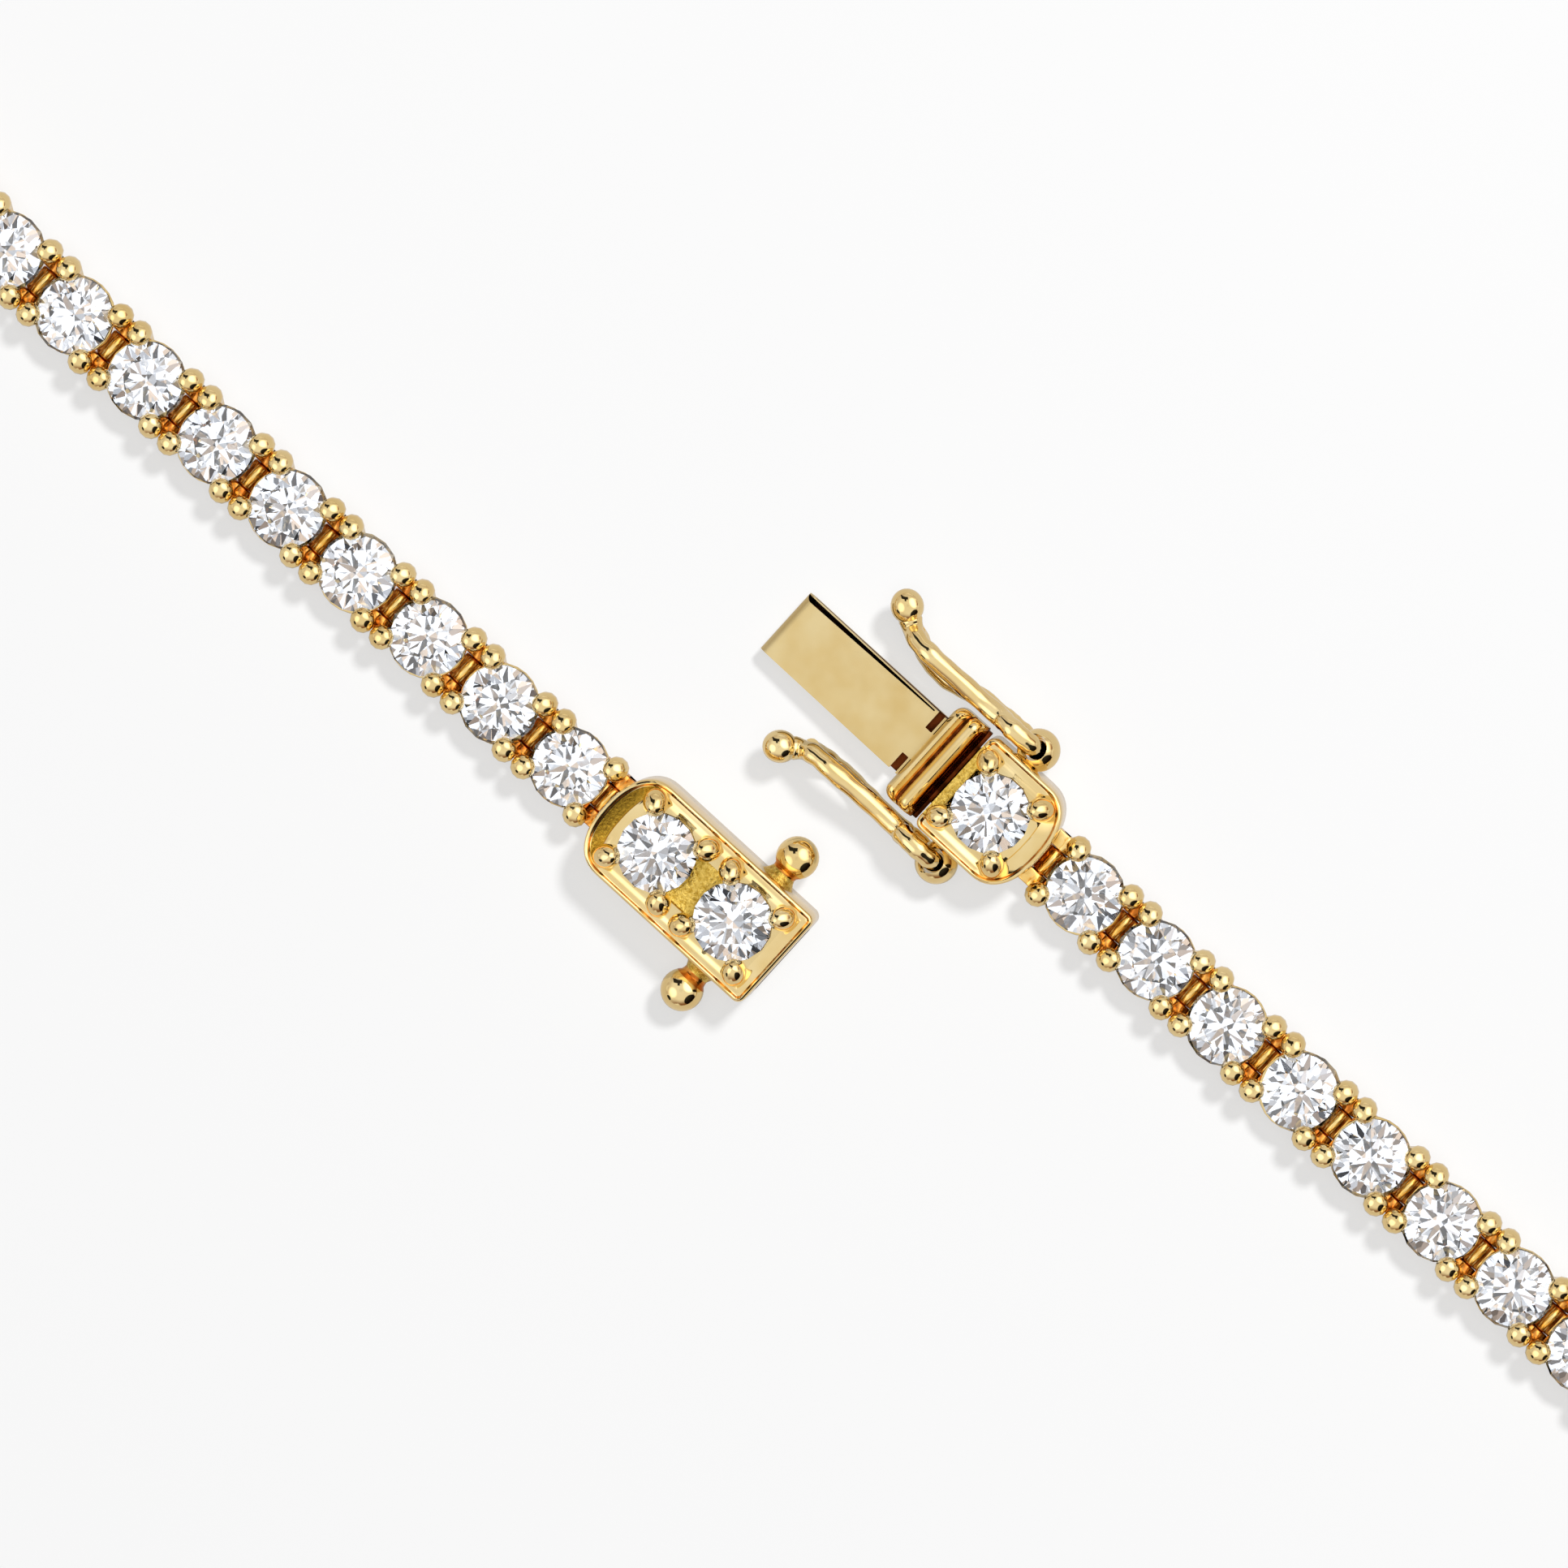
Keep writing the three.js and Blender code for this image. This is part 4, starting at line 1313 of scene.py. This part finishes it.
# Section of the press bar from its front foot over its two ridges: share of its depth, height
BAR_SECTION = (
    (1.0, 1.05),
    (1.0, 1.5),
    (0.96, 1.66),
    (0.90, 1.90),
    (0.85, 2.10),
    (0.79, 2.27),
    (0.72, 2.37),
    (0.64, 2.41),
    (0.56, 2.38),
    (0.49, 2.28),
    (0.45, 2.17),
    (0.42, 2.10),
    (0.37, 2.10),
    (0.33, 2.18),
    (0.27, 2.34),
    (0.20, 2.42),
    (0.12, 2.41),
    (0.05, 2.30),
    (0.0, 2.05),
    (0.0, 1.05),
)
# Which rows of the bar's skin lie in shade, and how deep
BAR_SHADES = {0: GROOVED, 1: GROOVED, 2: TONGUE_SHADE, 10: TONGUE_SHADE, 11: GROOVED}


def press_bar(bm):
    """Bar across the leaf's root with two rounded ridges, eased down at both ends"""
    back, front, half, ease_length, steps = 2.8, 4.28, 2.2, 0.42, 32
    rings = []
    for k in range(steps + 1):
        y = half * math.sin(math.pi / 2 * (2 * k / steps - 1))
        end = max(0.0, (abs(y) - (half - ease_length)) / ease_length)
        ease = 1 - math.sqrt(max(0.0, 1 - end * end))
        x0, x1 = back + 0.45 * ease, front - 0.1 * ease
        ring = []
        for share, z in BAR_SECTION:
            drop = 0.6 * ease * max(0.0, z - 1.4)
            ring.append(Vector((x0 + (x1 - x0) * share, y, z - drop)))
        rings.append(ring)
    faces = skin(bm, rings)
    sides = len(BAR_SECTION)
    for k in range(len(rings) - 1):
        for row, shade in BAR_SHADES.items():
            faces[k * sides + row].material_index = shade


class NECKLACE_OT_tongue(bpy.types.Operator):
    """Folds the spring tongue and puts the press bar on it"""

    bl_idname = "necklace.tongue"
    bl_label = "Tongue"

    def execute(self, context):
        y = HEAD_AXIS_Y
        leaf = bmesh.new()
        folded_leaf(leaf)
        move_all(leaf, 0, y)
        made = to_object(leaf, "tongue", (rolled_gold(), deep_gold(), groove_gold(), polished_gold()))
        wedge = bmesh.new()
        leaf_edge(wedge)
        # The wedge's cut faces take the near-black groove gold: a painted shadow along the upper leaf's
        # edge
        for face in wedge.faces:
            face.material_index = GROOVED
        move_all(wedge, 0, y)
        finishes = (polished_gold(), deep_gold(), groove_gold())
        cutters = [to_object(wedge, "wedge", finishes, smooth=False)]
        # The notches' cut faces take the deep gold: painted shade
        for side in (-1, 1):
            notch = (2.4, 2.7, *sorted((side * 0.62, side * 2.4)), 1.02, 2.6)
            cutters.append(clasp_block("notch", y, *notch, finish=TONGUE_SHADE, bevel=0.03))
        carve(made, cutters)
        bar = bmesh.new()
        press_bar(bar)
        ridges = len(bar.faces)
        # A block in the groove between the bar and the head, in the near-black groove gold: painted shade
        block(bar, 3.9, 4.41, -2.12, 2.12, 1.05, 1.5, 0.03)
        bar.faces.ensure_lookup_table()
        for face in bar.faces[ridges:]:
            face.material_index = GROOVED
        for face in bar.faces:
            face.material_index = face.material_index or BRIGHT
        move_all(bar, 0, y)
        join_into(made, to_object(bar, "press_bar", sharp_angle=40))
        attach(made, "necklace")
        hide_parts("spring_tongue")
        return {"FINISHED"}


def tail_ball(bm, centre, direction):
    """Olive at the tail of a catch's wire"""
    place = Matrix.Translation(centre) @ direction.to_track_quat("Z", "Y").to_matrix().to_4x4()
    radius, length = 0.62, 0.66
    profile = [(0, -length)]
    for k in range(1, 16):
        turn = math.pi * (1 - k / 16)
        profile.append((radius * math.sin(turn), length * math.cos(turn)))
    profile.append((0, length))
    turned(bm, profile, 28, place)


class NECKLACE_OT_catches(bpy.types.Operator):
    """Bends both figure-eight safety catches"""

    bl_idname = "necklace.catches"
    bl_label = "Safety catches"

    def execute(self, context):
        wire = context.scene.necklace_clasp.catch_wire / MM / 2
        for name, side in (("left", 1), ("right", -1)):
            bm = bmesh.new()
            lower = [(ahead, above, out * LOWER_LEAN[side]) for ahead, above, out in LOWER_WIRE]
            course = [*UPPER_WIRE, *ring_course(RING_ENDS, -RING_ENDS, RING_STEP), *lower]
            points = catch_points(course, side, 6)
            radii = []
            for i in range(len(points)):
                wander = 0.06 * math.sin(0.9 * i + 2.0 * side) * math.sin(0.23 * i + side)
                radii.append(wire * (1 + wander))
            for i, size in enumerate(TAIL_SWELL):
                radii[i] = wire * size
            tube(bm, points, radii, 16)
            tail_ball(bm, points[0], points[0] - points[2])
            made = to_object(bm, f"catch_{name}_wire", (drawn_gold(),), sharp_angle=60)
            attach(made, f"catch_{name}")
            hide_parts(f"safety_catch_{name}")
        return {"FINISHED"}


# Camera: width of its sensor, width of what it sees, how far it stands off
SENSOR, VIEW_WIDTH, VIEW_DISTANCE = 36.0, 0.05796, 0.32
# Key light: how far it leans from overhead, its width, how far it stands off
KEY_LEAN, KEY_WIDTH, KEY_DISTANCE = 0.62, 0.09, 0.6


class NECKLACE_OT_studio(bpy.types.Operator):
    """Lays the floor and sets the lights and the camera"""

    bl_idname = "necklace.studio"
    bl_label = "Studio"

    def execute(self, context):
        studio = context.scene.necklace_studio
        floor = bmesh.new()
        bmesh.ops.create_grid(floor, x_segments=8, y_segments=8, size=1.5)
        mesh = bpy.data.meshes.new("floor")
        floor.to_mesh(mesh)
        floor.free()
        mesh.materials.append(pale_floor(studio))
        made = linked("floor", mesh)

        right = Vector((0.741, 0.672, 0.0))
        up = Vector((-0.672, 0.741, 0.0))
        overhead = Vector((0, 0, 1))
        focus = ORIGIN + (0.08 * right + 0.14 * up + 2.2 * overhead) * MM

        def aim(thing, position):
            """Turns a thing at that position to face the clasp"""
            back = (position - focus).normalized()
            side = up.cross(back).normalized()
            axes = Matrix((side, back.cross(side), back)).transposed()
            thing.matrix_world = Matrix.Translation(position) @ axes.to_4x4()

        camera = bpy.data.cameras.new("camera")
        camera.type = "PERSP"
        camera.sensor_width = SENSOR
        camera.lens = SENSOR * VIEW_DISTANCE / VIEW_WIDTH
        camera.clip_start = 0.01
        camera.clip_end = 20.0
        eye = linked("camera", camera)
        lean_side = (right + 0.54 * up).normalized()
        lean = math.cos(studio.tilt) * overhead + math.sin(studio.tilt) * lean_side
        aim(eye, focus + VIEW_DISTANCE * lean)
        context.scene.camera = eye

        lamp = bpy.data.lights.new("key", "AREA")
        lamp.shape = "DISK"
        lamp.size = KEY_WIDTH
        lamp.energy = studio.key
        key = linked("key", lamp)
        aim(key, focus + KEY_DISTANCE * (KEY_LEAN * (right + up).normalized() + overhead).normalized())
        key.visible_glossy = False
        key.visible_transmission = False
        context.scene.world = soft_dome(studio, right, up, overhead)
        context.scene.view_settings.view_transform = "Standard"
        return {"FINISHED"}


class NECKLACE_PT_sidebar(bpy.types.Panel):
    """Lists the necklace's pieces in the sidebar"""

    bl_idname = "NECKLACE_PT_sidebar"
    bl_label = "Tennis necklace"
    bl_space_type = "VIEW_3D"
    bl_region_type = "UI"
    bl_category = "Necklace"

    def draw(self, context):
        for piece in PIECES:
            self.layout.operator(piece.bl_idname)
        for group in GROUPS:
            settings = getattr(context.scene, group)
            box = self.layout.box()
            for name in settings.__annotations__:
                box.prop(settings, name)


PIECES = (
    NECKLACE_OT_chain,
    NECKLACE_OT_box,
    NECKLACE_OT_head,
    NECKLACE_OT_clasp_stones,
    NECKLACE_OT_tongue,
    NECKLACE_OT_catches,
    NECKLACE_OT_studio,
)
GROUPS = {
    "necklace_chain": NecklaceChain,
    "necklace_clasp": NecklaceClasp,
    "necklace_finish": NecklaceFinish,
    "necklace_studio": NecklaceStudio,
}
CLASSES = (*GROUPS.values(), *PIECES, NECKLACE_PT_sidebar)


def register():
    for kind in CLASSES:
        bpy.utils.register_class(kind)
    for name, kind in GROUPS.items():
        setattr(bpy.types.Scene, name, bpy.props.PointerProperty(type=kind))


def unregister():
    for name in GROUPS:
        delattr(bpy.types.Scene, name)
    for kind in reversed(CLASSES):
        bpy.utils.unregister_class(kind)


def main():
    register()
    bpy.ops.necklace.chain()
    bpy.ops.necklace.box()
    bpy.ops.necklace.head()
    bpy.ops.necklace.clasp_stones()
    bpy.ops.necklace.tongue()
    bpy.ops.necklace.catches()
    bpy.ops.necklace.studio()


if __name__ == "__main__":
    main()
